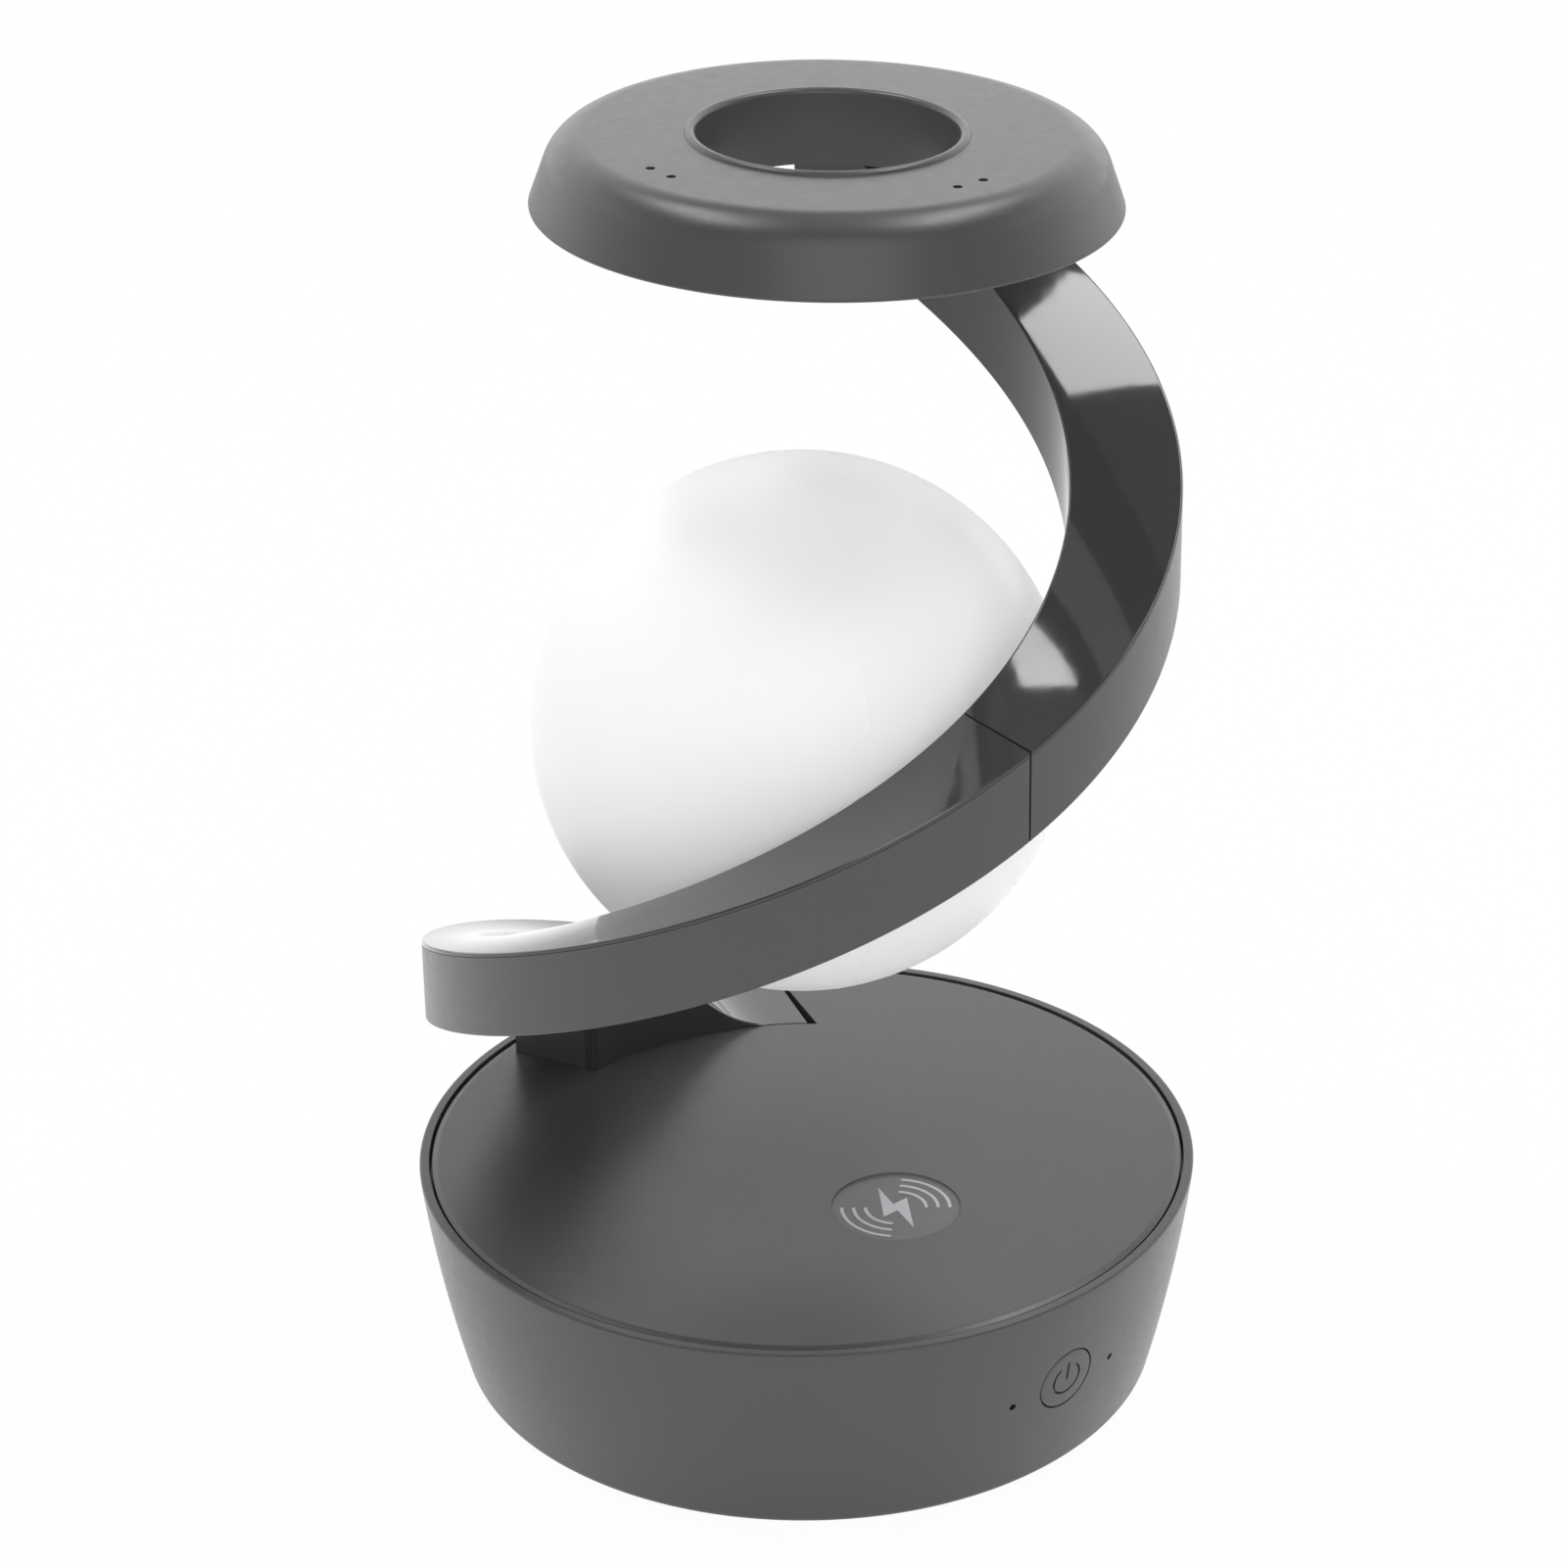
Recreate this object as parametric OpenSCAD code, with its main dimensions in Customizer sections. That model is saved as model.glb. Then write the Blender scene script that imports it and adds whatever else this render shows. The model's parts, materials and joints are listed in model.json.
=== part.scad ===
// Levitating ball lamp: a bowed drum base with a deck for a phone, a helical arm that climbs one
// full turn round a milky globe, and a flat ring head. Origin on the drum's axis, at the table.

/* [Base] */
// How far the drum's rim stands out past the globe
base_past_ball = 21.5; // [20:0.5:30]
// Height of the deck above the table
deck_z = 37; // [34:0.5:44]
// How far the drum's wall leans in, as a ratio of its height
wall_draft = 0.114; // [0.05:0.005:0.16]
// Radius of the wall's slow bow
wall_bow_r = 250; // [180:10:600]
// Thickness of the drum's wall
wall_t = 2.5; // [2:0.1:3]
// Rounding at the drum's lower edge
base_edge_r = 1.4; // [0.6:0.1:1.4]
// Rounding at the rim's outer edge
rim_round = 0.35; // [0.2:0.05:0.5]
// Height of the gap that the rubber feet leave under the drum
foot_gap = 1.1; // [0.8:0.1:2]
// Thickness of the iron ballast plate
ballast_t = 5; // [3:0.5:5]

/* [Deck] */
// Width of the rim round the deck, with its groove
rim_w = 1.65; // [1.5:0.05:2.2]
// Width of the dark groove round the deck
groove_w = 0.45; // [0.2:0.05:0.5]
// Thickness of the deck plate
deck_t = 2.6; // [2.2:0.1:3.2]
// Width of the deck plate's bevelled edge
deck_bevel_w = 0.9; // [0.5:0.1:1.5]
// Fall of the bevel at the groove
deck_bevel_h = 0.35; // [0.2:0.05:0.6]
// Diameter of the clear disc over the charging coil
emblem_d = 21; // [18:0.5:24]
// Distance of the charging coil's centre from the drum's rim
charger_in = 40; // [39:0.2:41.6]

/* [Button] */
// Diameter of the power button's cap
button_d = 10.9; // [9:0.1:12]
// Height of the button's centre above the table
button_z = 20.5; // [19.8:0.1:21.6]
// Inward travel of the button
button_travel = 0.7; // [0.4:0.1:0.9]
// Diameter of an indicator pinhole
pinhole_d = 1.1; // [0.8:0.1:1.4]

/* [Arm] */
// Height that the arm climbs in its first full turn
arm_rise = 149; // [144:0.5:154]
// Extra height gained by its slow steepening
arm_lift = 15.8; // [12:0.2:18]
// Gap between the globe and the arm where the arm is widest
arm_gap = 3.3; // [3.1:0.1:5]
// How far the arm's foot stands in from its widest place
arm_foot_in = 5; // [3:0.2:6]
// How far the arm's end stands in from its widest place
arm_end_in = 7.6; // [7:0.2:8]
// Width of the arm at its foot
arm_w_foot = 14.7; // [14.2:0.1:15]
// Width of the arm at its end
arm_w_end = 18.7; // [18.2:0.1:19.4]
// Height of the arm's section at its foot
arm_h_foot = 14.1; // [13.6:0.1:14.6]
// Height of the arm's section at its end
arm_h_end = 15.8; // [15.4:0.1:16.6]
// Thickness of the glossy cover
cover_t = 1.7; // [1.5:0.1:1.9]
// Thickness of the satin body's wall and floor
arm_wall_t = 2.3; // [2:0.1:2.4]
// Thickness of the cover's lip over the outer wall
lip_t = 0.65; // [0.5:0.05:0.9]
// Width of the parting gap between the arm's two lengths
parting_w = 0.3; // [0.2:0.05:0.5]

/* [Ball] */
// Radius of the globe
ball_r = 43.5; // [42.5:0.1:43.7]
// Wall of the globe
ball_t = 1.8; // [1.4:0.1:2.2]
// Outer diameter of the neck's tube
neck_d = 6; // [5.4:0.1:6.2]

/* [Ring] */
// Outer radius of the ring at its underside
ring_r = 46.4; // [46:0.1:47]
// Width of the ring's band at its underside
ring_band = 26.9; // [26.4:0.1:27.2]
// Height of the ring to its flat top
ring_h = 11.4; // [11.2:0.1:12.4]
// Inward lean of the ring's outer wall, as a ratio of its height
ring_draft = 0.36; // [0.3:0.01:0.4]
// Rounding at the ring's outer top edge
ring_round = 7; // [6.4:0.1:7.2]
// Wall of the ring's shell
ring_t = 2; // [1.8:0.1:2.1]
// Radius of the raised bead round the hole
bead_r = 0.9; // [0.6:0.1:1]
// Lean of the ring from level, in degrees
ring_lean = 1.2; // [0:0.1:1.5]

/* [Fit] */
// Clearance between pieces that are fitted together
seat = 0.1; // [0.06:0.01:0.12]
// Clearance round the button and its plunger
slide_fit = 0.1; // [0.06:0.01:0.1]

/* [Hidden] */
$fn = 96;
// One overrun serves every cut
over = 1;
// Facets of the swept pieces: one station every few degrees
arm_step = 3;
// Steps along the drum's bowed wall
bow_steps = 12;
// A step so small that two stations stand at one place
hair_deg = 0.05;

// Where the arm starts, stands, parts and ends, in degrees round the drum's axis
arm_start = 43.3;
ramp_az = 47.9;
ramp_skew = 5.3;
ramp_rise_az = 54.7;
ramp_full_az = 89.8;
foot_flat_az = 58.7;
foot_az = 103.3;
foot_skew = 2.3;
skew_run = 25;
side_az = 138.7;
neck_az = 243.7;
parting_az = 262.65;
contact_az = 396.9;
stem_az = 402.8;
arm_end = 408.4;
fall_power = 1.345;
slot_w = 1.65;
slot_out_w = 1.05;
arm_edge = 0.3;

// Places round the ring, in degrees
ring_stem_az = 48.9;
lean_az = 318.7;
pinhole_az = [173.4, 182.3, 264.4, 273.5];
ring_boss_az = [105, 195, 285, 375];

// Radii that follow the globe: of the drum's rim, and inside the arm
base_r = ball_r + base_past_ball;
arm_in_side = ball_r + arm_gap;
arm_in_foot = arm_in_side - arm_foot_in;
arm_in_end = arm_in_side - arm_end_in;

// Levels and radii of the drum
rim_z = deck_z - rim_round;
groove_r = base_r - rim_w;
deck_r = groove_r - groove_w;
shelf_z = deck_z - deck_t;
shelf_t = 2.4;
shelf_w = 6.4;
foot_shelf_w = 24;

// Bottom cover, its pads and what stands on it
cover_recess = 0.3;
plate_t = 2.4;
plate_z = foot_gap + cover_recess;
plate_top = plate_z + plate_t;
pad_h = 1.6;
pad_d = 14;
pad_top = plate_top + pad_h;
foot_d = 12;
foot_sink = 1;
foot_edge = 0.5;
post_inset = 17;
post_r = base_r - post_inset;
post_d = 7;
post_az = [28, 118, 208, 298];
rib_t = 2;
plate_r = wall_in(plate_z) - seat;

// Screws, from the coarse ones in the base to the fine ones in the ring
screw_d = 2.8;
screw_head_d = 5.4;
screw_head_h = 1.7;
fine_screw_d = 2.2;
fine_head_d = 4.2;
fine_head_h = 1.2;
cover_screw_len = 12;
foot_screw_len = 8.4;
ballast_screw_len = 6.6;
fine_screw_len = 6;
coil_screw_len = 4;
foot_screw_az = [84, 96];
foot_screw_r = arm_mid(foot_screw_az[0]);
foot_boss_d = 6.4;
foot_boss_h = 4;
cable_az = 73;
cable_d = 3;
cable_hole_d = 5;

// Ballast, main board and what is on it
ballast_inset = 21;
ballast_r = base_r - ballast_inset;
ballast_screw_in = 8;
ballast_screw_r = ballast_r - ballast_screw_in;
ballast_screw_az = [20, 140, 260];
board_t = 1.6;
board_gap = 2.2;
board_z = plate_top + ballast_t + board_gap;
board_w = 34;
board_y0 = 4;
tab_w = 11;
tab_len = 6;
standoff_d = 6;
standoff_x = 13.5;
standoff_in = 4;
standoff_back = 14;

// Inlet at the back
usb_w = 9;
usb_h = 3.3;
usb_wall = 0.4;
usb_len = 7.6;
usb_set_back = 0.5;
usb_z = board_z + board_t + usb_h / 2;
usb_front_y = wall_out(usb_z) - usb_set_back;
usb_past_tab = 4.9;
tab_y1 = usb_front_y - usb_past_tab;
board_y1 = tab_y1 - tab_len;
standoff_y = [board_y0 + standoff_in, board_y1 - standoff_back];
tongue_w = 6.7;
tongue_h = 0.7;
tongue_short = 1.2;

// Wireless charger under the deck
charger_x = -2.5;
charger_y = base_r - charger_in;
coil_r = 21.5;
coil_hole_r = 10;
coil_t = 1.6;
ferrite_r = 22.5;
ferrite_t = 1;
tray_r = 24;
tray_t = 1.1;
tray_hole_r = 6;
ear_d = 7;
ear_r = 27.5;
ear_az = [60, 180, 300];
coil_z = shelf_z - seat - coil_t;
ferrite_z = coil_z - seat - ferrite_t;
tray_z = ferrite_z - tray_t;
emblem_t = 0.3;
mark_t = 0.1;
mark_arc_count = 3;
mark_arc_r = 5;
mark_arc_step = 1.95;
mark_arc_half_deg = 42;
mark_stroke = 0.55;
bolt_h = 13.2;

// Button, switch and indicator lights, placed by distance from the drum's axis
guide_d = 13.4;
guide_len = 1.5;
guide_in = wall_in(button_z) - guide_len;
flange_d = 12.8;
flange_t = 1.1;
button_post_d = 3.4;
button_post_len = 2.8;
plunger_len = 2.7;
plunger_in = 1.2;
switch_w = 6;
switch_floor = 1;
switch_spare = 0.6;
switch_t = switch_floor + switch_spare + button_travel + plunger_in;
flange_front = guide_in - seat;
flange_back = flange_front - flange_t;
post_tip = flange_back - button_post_len;
switch_front = post_tip - plunger_len + plunger_in;
small_board_t = 1.4;
small_board_front = switch_front - switch_t;
small_board_back = small_board_front - small_board_t;
small_board_w = 31;
small_board_h = 17;
small_boss_x = 12.8;
small_boss_drop = 5;
small_boss_d = 5;
symbol_d = 5.6;
symbol_stroke = 0.4;
symbol_bar = 3.4;
symbol_deep = 0.25;
symbol_gap_deg = 34;
light_turn = 10.05;
light_drop = 1.2;
light_body_d = 2.2;
led_w = 2.8;
led_t = 1.3;
light_gap = 1.5;
light_sink = 0.6;
light_in = small_board_front + led_t + light_gap;

// Neck that holds the globe
collar_d = 11;
collar_back = 0.6;
neck_wall = 0.9;
nut_w = 8;
nut_t = 2.4;
neck_tail = 1;
neck_lift = 1.95;
clamp_d = 13;
clamp_t = 2;
neck_inside = 4.5;
post_end = 4.5;
post_flange_d = 15;
post_flange_t = 1.5;
light_board_r = 11;
light_board_t = 1.2;
light_led_r = 7.5;
light_led_w = 2.6;
light_led_t = 0.8;
light_led_count = 8;
globe_cable_d = 2.4;

// Ring head
hole_r = ring_r - ring_band;
ring_lip = 0.9;
ring_plate_t = 2;
ring_boss_in = 6.9;
ring_boss_r = ring_r - ring_boss_in;
ring_boss_d = 5.6;
ring_window_r0 = hole_r + 3 * ring_t;
ring_window_in = 11;
ring_window_r1 = ring_r - ring_window_in;
ring_window_deg = 48;
diffuser_flange = 0.8;
diffuser_flange_t = 0.8;
ring_board_r0 = ring_window_r0 - ring_t * 3 / 4;
ring_board_r1 = ring_window_r1;
ring_board_t = 1.2;
ring_board_z = 4.6;
ring_board_deg = 32;
ring_post_d = 4;
ring_post_az = [110, 200, 290];
ring_led_r = (ring_window_r0 + ring_window_r1) / 2;
ring_led_w = 2.8;
ring_led_t = 0.8;
ring_led_count = 20;
pinhole_in = 13.8;
pinhole_r = ring_r - pinhole_in;
ring_pinhole_d = 1.5;
stem_d = 8;
stem_bore_d = 4;
stem_nut_w = 10;
stem_nut_t = 2.6;
stem_over = 0.6;

// Plugs inside the arm
plug_turn = 11;
channel_w = 4.2;
channel_h = 4.2;
plug_screw_turn = 5;
bracket_az = 386;
bracket_screw_az = 393;
bracket_end_gap = 0.6;

function polar(r, a) = [r * cos(a), r * sin(a)];
function ease(x) = let (c = max(0, min(1, x))) c * c * (3 - 2 * c);
function span(a, b, n) = [for (i = [0 : n]) a + (b - a) * i / n];
function stops(a, b) = span(a, b, max(1, ceil((b - a) / arm_step)));

// Radius of the drum's outer and inner wall at a height
function wall_out(z) = let (s = rim_z - z) base_r - wall_draft * s - s * s / (2 * wall_bow_r);
function wall_in(z) = wall_out(z) - wall_t;

// Where a round boss that stands on the front wall, x aside and drop below the button, ends in it
function root_in_wall(x, drop, d) = let (z = button_z - drop)
    (sqrt(pow(wall_out(z - d / 2), 2) - pow(x + d / 2, 2))
    + sqrt(pow(wall_in(z + d / 2), 2) - pow(max(0, x - d / 2), 2))) / 2;

// The arm's law: turns climbed, share of its length, and its radii and heights by azimuth
function turns(a) = (a - arm_start) / 360;
function share(a) = (a - arm_start) / (arm_end - arm_start);
function fall(a) = pow(max(0, a - side_az) / (arm_end - side_az), fall_power);
function grow(a) = ease((a - foot_flat_az) / (side_az - foot_flat_az));
function arm_in(a) = a < side_az
    ? arm_in_foot + (arm_in_side - arm_in_foot) * grow(a)
    : arm_in_side - (arm_in_side - arm_in_end) * fall(a);
function arm_w(a) = arm_w_foot + (arm_w_end - arm_w_foot) * share(a);
function arm_out(a) = arm_in(a) + arm_w(a);
function arm_mid(a) = arm_in(a) + arm_w(a) / 2;
// The top is level with the deck at the tip, then sweeps up to the climb in a hollow curve
function arm_top(a) = deck_z + (arm_rise * turns(a) + arm_lift * pow(turns(a), 2))
    * ease((a - ramp_rise_az) / (ramp_full_az - ramp_rise_az));
function arm_h(a) = arm_h_foot + (arm_h_end - arm_h_foot) * share(a);
function arm_under(a) = arm_top(a) - arm_h(a);
function arm_floor(a) = arm_under(a) + arm_wall_t;
function arm_slope(a) = let (e = 1) atan((arm_top(a + e) - arm_top(a - e)) * 90 / (PI * e) / arm_mid(a));
function wall_deg(r) = arm_wall_t / r * 180 / PI;

// Middle of the wall's land on each side of the cable channel
function land_in(a) = (arm_in(a) + cover_t + arm_mid(a) - channel_w / 2) / 2;
function land_out(a) = (arm_out(a) - arm_wall_t + arm_mid(a) + channel_w / 2) / 2;

// Place of the ring: its outer wall flush with the arm's end, its underside on the arm's top
stem_xy = polar(arm_mid(stem_az), stem_az);
ring_xy = stem_xy - polar(ring_r - arm_w_end / 2, ring_stem_az);
lean_n = [sin(ring_lean) * cos(lean_az), sin(ring_lean) * sin(lean_az), cos(ring_lean)];
contact_xy = polar(arm_mid(contact_az), contact_az);
function lean_rise(p) = -(p.x * lean_n.x + p.y * lean_n.y) / lean_n.z;
ring_z = arm_top(contact_az) + seat - lean_rise(contact_xy - ring_xy);
function ring_under(p) = ring_z + lean_rise(p - ring_xy) - seat;

// Place of the globe: its neck in the middle of the arm's hollow
neck_z = (arm_floor(neck_az) + arm_top(neck_az) - cover_t) / 2;
ball_z = neck_z - neck_lift;
ball_reach = sqrt(pow(ball_r, 2) - pow(neck_lift, 2));
arm_face = arm_in(neck_az);
nut_x = arm_face + cover_t + seat;
neck_end = nut_x + nut_t + neck_tail;
clamp_x = sqrt(pow(ball_r - ball_t, 2) - pow(clamp_d / 2 + neck_lift, 2)) - seat;

// A station across the arm is a straight line in plan, skewed at the ramp's tip and the foot's end
function skew(a) = ramp_skew * max(0, 1 - (a - ramp_az) / skew_run)
    + foot_skew * max(0, 1 - abs(a - foot_az) / skew_run);
function line_in(a) = polar(arm_in(a), a);
function line_out(a) = let (b = a + skew(a)) polar(arm_out(b), b);
function across(a, f, d) = let (p = line_in(a), q = line_out(a), v = (q - p) / norm(q - p))
    p + v * (f * norm(q - p) + d);
function top_at(a, f, p) = min(arm_top(a + skew(a) * f), ring_under(p));
function under_at(a, f) = a <= foot_az ? shelf_z : arm_under(a + skew(a) * f);
function inner_floor(a, f) = a <= foot_az - wall_deg(arm_mid(a)) ? shelf_z + arm_wall_t
    : arm_floor(a + skew(a) * f);
function floor_at(a, f, p) = let (roof = top_at(a, f, p) - cover_t - seat)
    a > arm_end - wall_deg(arm_mid(a)) ? roof : min(inner_floor(a, f), roof);

// Points of a section at azimuth a: f is 0 at the inner wall and 1 at the outer, d is an offset
function high(a, f, d, dz) = let (p = across(a, f, d)) [p.x, p.y, top_at(a, f, p) + dz];
function low(a, f, d, dz) = let (p = across(a, f, d)) [p.x, p.y, under_at(a, f) + dz];
function mid(a, f, d, dz) = let (p = across(a, f, d)) [p.x, p.y, floor_at(a, f, p) + dz];
function body_section(a) = [
    mid(a, 0, cover_t + seat, 0), low(a, 0, cover_t + seat, 0), low(a, 1, 0, 0),
    high(a, 1, 0, -lip_t - seat), high(a, 1, -arm_wall_t, -lip_t - seat),
    mid(a, 1, -arm_wall_t, 0)
];
function cover_section(a) = [
    low(a, 0, 0, 0), low(a, 0, cover_t, 0), high(a, 0, cover_t, -cover_t),
    high(a, 1, -arm_wall_t - seat, -cover_t), high(a, 1, -arm_wall_t - seat, -lip_t),
    high(a, 1, 0, -lip_t), high(a, 1, 0, -arm_edge), high(a, 1, -arm_edge, 0), high(a, 0, 0, 0)
];
function plug_section(a) = let (g = 2 * seat) [
    mid(a, 0, cover_t + g, seat), mid(a, 0.5, -channel_w / 2, seat),
    mid(a, 0.5, -channel_w / 2, channel_h), mid(a, 0.5, channel_w / 2, channel_h),
    mid(a, 0.5, channel_w / 2, seat), mid(a, 1, -arm_wall_t - g, seat),
    high(a, 1, -arm_wall_t - g, -cover_t - g), high(a, 0, cover_t + g, -cover_t - g)
];

// Solid through a list of rings of points; each ring has as many points as the first
module skin(rings) {
    n = len(rings[0]);
    m = len(rings);
    sides = [
        for (k = [0 : m - 2]) for (i = [0 : n - 1]) let (j = (i + 1) % n, b = k * n, c = b + n)
            each [[b + i, b + j, c + j], [b + i, c + j, c + i]]
    ];
    caps = [[for (i = [n - 1 : -1 : 0]) i], [for (i = [0 : n - 1]) (m - 1) * n + i]];
    polyhedron([for (r = rings) each r], concat(sides, caps), convexity = 10);
}

// Round tube along points; its rings keep one side turned to the drum's axis
module wire(points, d, sides = 8) {
    n = len(points);
    nudge = over / 1000;
    skin([
        for (i = [0 : n - 1]) let (
            t0 = points[min(n - 1, i + 1)] - points[max(0, i - 1)],
            t = t0 / norm(t0),
            w0 = cross([points[i].x, points[i].y + nudge, 0], t),
            w = w0 / norm(w0),
            u = cross(t, w)
        ) [for (k = [0 : sides - 1]) points[i] + d / 2 * (u * cos(k * 360 / sides)
            + w * sin(k * 360 / sides))]
    ]);
}

// Frames that pieces are placed in
module around(angles, r = 0) {
    for (a = angles) rotate([0, 0, a]) translate([r, 0, 0]) children();
}
module front_place() {
    translate([0, 0, button_z]) rotate([90, 0, 0]) children();
}
module neck_place() {
    translate([0, 0, neck_z]) rotate([0, 0, neck_az]) rotate([0, 90, 0]) children();
}
module ring_place() {
    translate([ring_xy.x, ring_xy.y, ring_z]) rotate([0, 0, lean_az]) rotate([0, ring_lean, 0])
        rotate([0, 0, -lean_az]) children();
}
module stem_place() {
    ring_place() rotate([0, 0, ring_stem_az]) translate([ring_r - arm_w_end / 2, 0, 0]) children();
}
module arm_place(a, r) {
    translate([r * cos(a), r * sin(a), arm_under(a)]) rotate([0, 0, a])
        rotate([arm_slope(a), 0, 0]) children();
}

// Pan-head screw: its head hangs below the origin and its shank stands above it
module screw(d, length, head_d, head_h) {
    recess_w = head_d / 6;
    difference() {
        union() {
            cylinder(d = d, h = length);
            translate([0, 0, -head_h]) cylinder(d = head_d, h = head_h);
        }
        for (a = [0, 90]) rotate([0, 0, a]) translate([-head_d / 3, -recess_w / 2, -head_h - over])
            cube([head_d * 2 / 3, recess_w, over + head_h / 2]);
    }
}
module big_screw(length) {
    screw(screw_d, length, screw_head_d, screw_head_h);
}
module fine_screw(length) {
    screw(fine_screw_d, length, fine_head_d, fine_head_h);
}
module hex(w, h) {
    cylinder(d = w / cos(30), h = h, $fn = 6);
}
module slot_2d(w, h) {
    square([w - h, h], center = true);
    for (s = [-1, 1]) translate([s * (w - h) / 2, 0]) circle(d = h);
}

// Solid body of the drum, drawn in by an inset
module drum(inset = 0) {
    levels = span(foot_gap + base_edge_r, rim_z, bow_steps);
    foot_r = wall_out(foot_gap + base_edge_r) - base_edge_r;
    rotate_extrude() polygon(concat(
        [[0, foot_gap], [foot_r - inset, foot_gap]],
        [for (a = [-60, -30]) [
            foot_r + base_edge_r * cos(a) - inset, foot_gap + base_edge_r * (1 + sin(a))]],
        [for (z = levels) [wall_out(z) - inset, z]],
        [for (a = [30, 60]) [
            base_r - rim_round * (1 - cos(a)) - inset, rim_z + rim_round * sin(a)]],
        [[base_r - rim_round - inset, deck_z], [0, deck_z]]
    ));
}

// Footprint of the arm in the deck, grown by a gap
module footprint(gap) {
    a1 = foot_az + gap / arm_mid(foot_az) * 180 / PI;
    tip_in = ramp_az - slot_w / arm_in(ramp_az) * 180 / PI;
    tip_out = ramp_az - slot_out_w / arm_out(ramp_az) * 180 / PI;
    line = concat(stops(ramp_az, foot_az), [a1]);
    polygon(concat([for (a = concat([tip_in], line)) across(a, 0, -gap)],
        [for (i = [len(line) - 1 : -1 : 0]) across(line[i], 1, gap)], [across(tip_out, 1, gap)]));
}

module base_shell() {
    color("dimgray") difference() {
        union() {
            difference() {
                drum();
                translate([0, 0, shelf_z]) cylinder(r = groove_r, h = deck_t + over);
                rotate_extrude() polygon(concat(
                    [[0, foot_gap - over], [wall_in(foot_gap), foot_gap - over]],
                    [for (z = span(foot_gap, shelf_z - shelf_t, bow_steps - 2)) [wall_in(z), z]],
                    [[0, shelf_z - shelf_t]]
                ));
                translate([0, 0, shelf_z - shelf_t - over]) shelf_opening(shelf_t + 2 * over);
            }
            posts();
            button_guides();
        }
        around(post_az, post_r) translate([0, 0, pad_top - over])
            cylinder(d = screw_d + 2 * seat, h = cover_screw_len + over);
        around(foot_screw_az, foot_screw_r) translate([0, 0, shelf_z - shelf_t - over])
            cylinder(d = screw_d + 2 * seat, h = shelf_t + 2 * over);
        translate([cable_xy.x, cable_xy.y, shelf_z - shelf_t - over])
            cylinder(d = cable_hole_d, h = shelf_t + 2 * over);
        front_place() translate([0, 0, small_board_front])
            cylinder(d = button_d + 2 * slide_fit, h = base_r);
        for (s = [-1, 1]) {
            front_place() translate([s * small_boss_x, -small_boss_drop, small_board_front - over])
                cylinder(d = fine_screw_d + 2 * seat, h = fine_screw_len + over);
            light_place(s) cylinder(d = pinhole_d + seat, h = base_r);
        }
        translate([0, 0, usb_z]) rotate([-90, 0, 0]) linear_extrude(base_r + over)
            slot_2d(usb_w + 2 * seat, usb_h + 2 * seat);
    }
}

// Opening inside the shelf, which is wider under the arm's foot
module shelf_opening(h) {
    spread = skew_run / 4;
    cylinder(r = groove_r - foot_shelf_w, h = h);
    rotate([0, 0, foot_az + spread]) rotate_extrude(angle = 360 - foot_az + ramp_az - 2 * spread)
        translate([groove_r - foot_shelf_w - over, 0]) square([foot_shelf_w - shelf_w + over, h]);
}

// Screw posts that carry the deck plate and take the bottom cover, each with a rib to the wall
module posts() {
    intersection() {
        union() around(post_az) {
            translate([post_r, 0, pad_top]) cylinder(d = post_d, h = shelf_z - pad_top);
            translate([post_r, -rib_t / 2, pad_top])
                cube([base_r - post_r, rib_t, shelf_z - shelf_t / 2 - pad_top]);
        }
        drum(wall_t / 2);
    }
}

// Collar that guides the button and two bosses that carry its board, rooted in the wall
module button_guides() {
    front_place() {
        translate([0, 0, guide_in]) cylinder(d = guide_d, h = root_in_wall(0, 0, guide_d) - guide_in);
        for (s = [-1, 1]) translate([s * small_boss_x, -small_boss_drop, small_board_front])
            cylinder(d = small_boss_d, h = root_in_wall(small_boss_x, small_boss_drop, small_boss_d)
                - small_board_front);
    }
}

module deck_plate() {
    color("dimgray") difference() {
        union() {
            translate([0, 0, shelf_z]) rotate_extrude() polygon([
                [0, 0], [deck_r, 0], [deck_r, deck_t - deck_bevel_h], [deck_r - deck_bevel_w, deck_t],
                [0, deck_t]
            ]);
            translate([charger_x, -charger_y, tray_z + tray_t]) around(ear_az, ear_r)
                cylinder(d = ear_d, h = shelf_z + deck_t / 2 - tray_z - tray_t);
        }
        translate([0, 0, shelf_z - over]) linear_extrude(deck_t + 2 * over) footprint(seat);
        translate([charger_x, -charger_y, deck_z - emblem_t - mark_t])
            cylinder(d = emblem_d + 2 * seat, h = emblem_t + mark_t + over);
        translate([charger_x, -charger_y, tray_z]) around(ear_az, ear_r)
            cylinder(d = fine_screw_d + 2 * seat, h = tray_t + coil_screw_len);
    }
}

module bottom_cover() {
    color("#2e2f31") difference() {
        union() {
            translate([0, 0, plate_z]) cylinder(r = plate_r, h = plate_t);
            around(post_az, post_r) translate([0, 0, plate_z]) cylinder(d = pad_d, h = plate_t + pad_h);
            for (x = [-1, 1], y = standoff_y) translate([x * standoff_x, y, plate_z])
                cylinder(d = standoff_d, h = board_z - plate_z);
        }
        around(post_az, post_r) {
            translate([0, 0, plate_z - over]) cylinder(d = foot_d + 2 * seat, h = foot_sink + over);
            translate([0, 0, plate_z]) cylinder(d = screw_head_d + 2 * seat,
                h = foot_sink + seat + screw_head_h);
            translate([0, 0, plate_z]) cylinder(d = screw_d + 2 * seat, h = plate_t + pad_h + over);
        }
        for (x = [-1, 1], y = standoff_y) translate([x * standoff_x, y, board_z - fine_screw_len])
            cylinder(d = fine_screw_d + 2 * seat, h = fine_screw_len + over);
        around(ballast_screw_az, ballast_screw_r) translate([0, 0, plate_z - over])
            cylinder(d = screw_d + 2 * seat, h = plate_t + 2 * over);
    }
}

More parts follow.
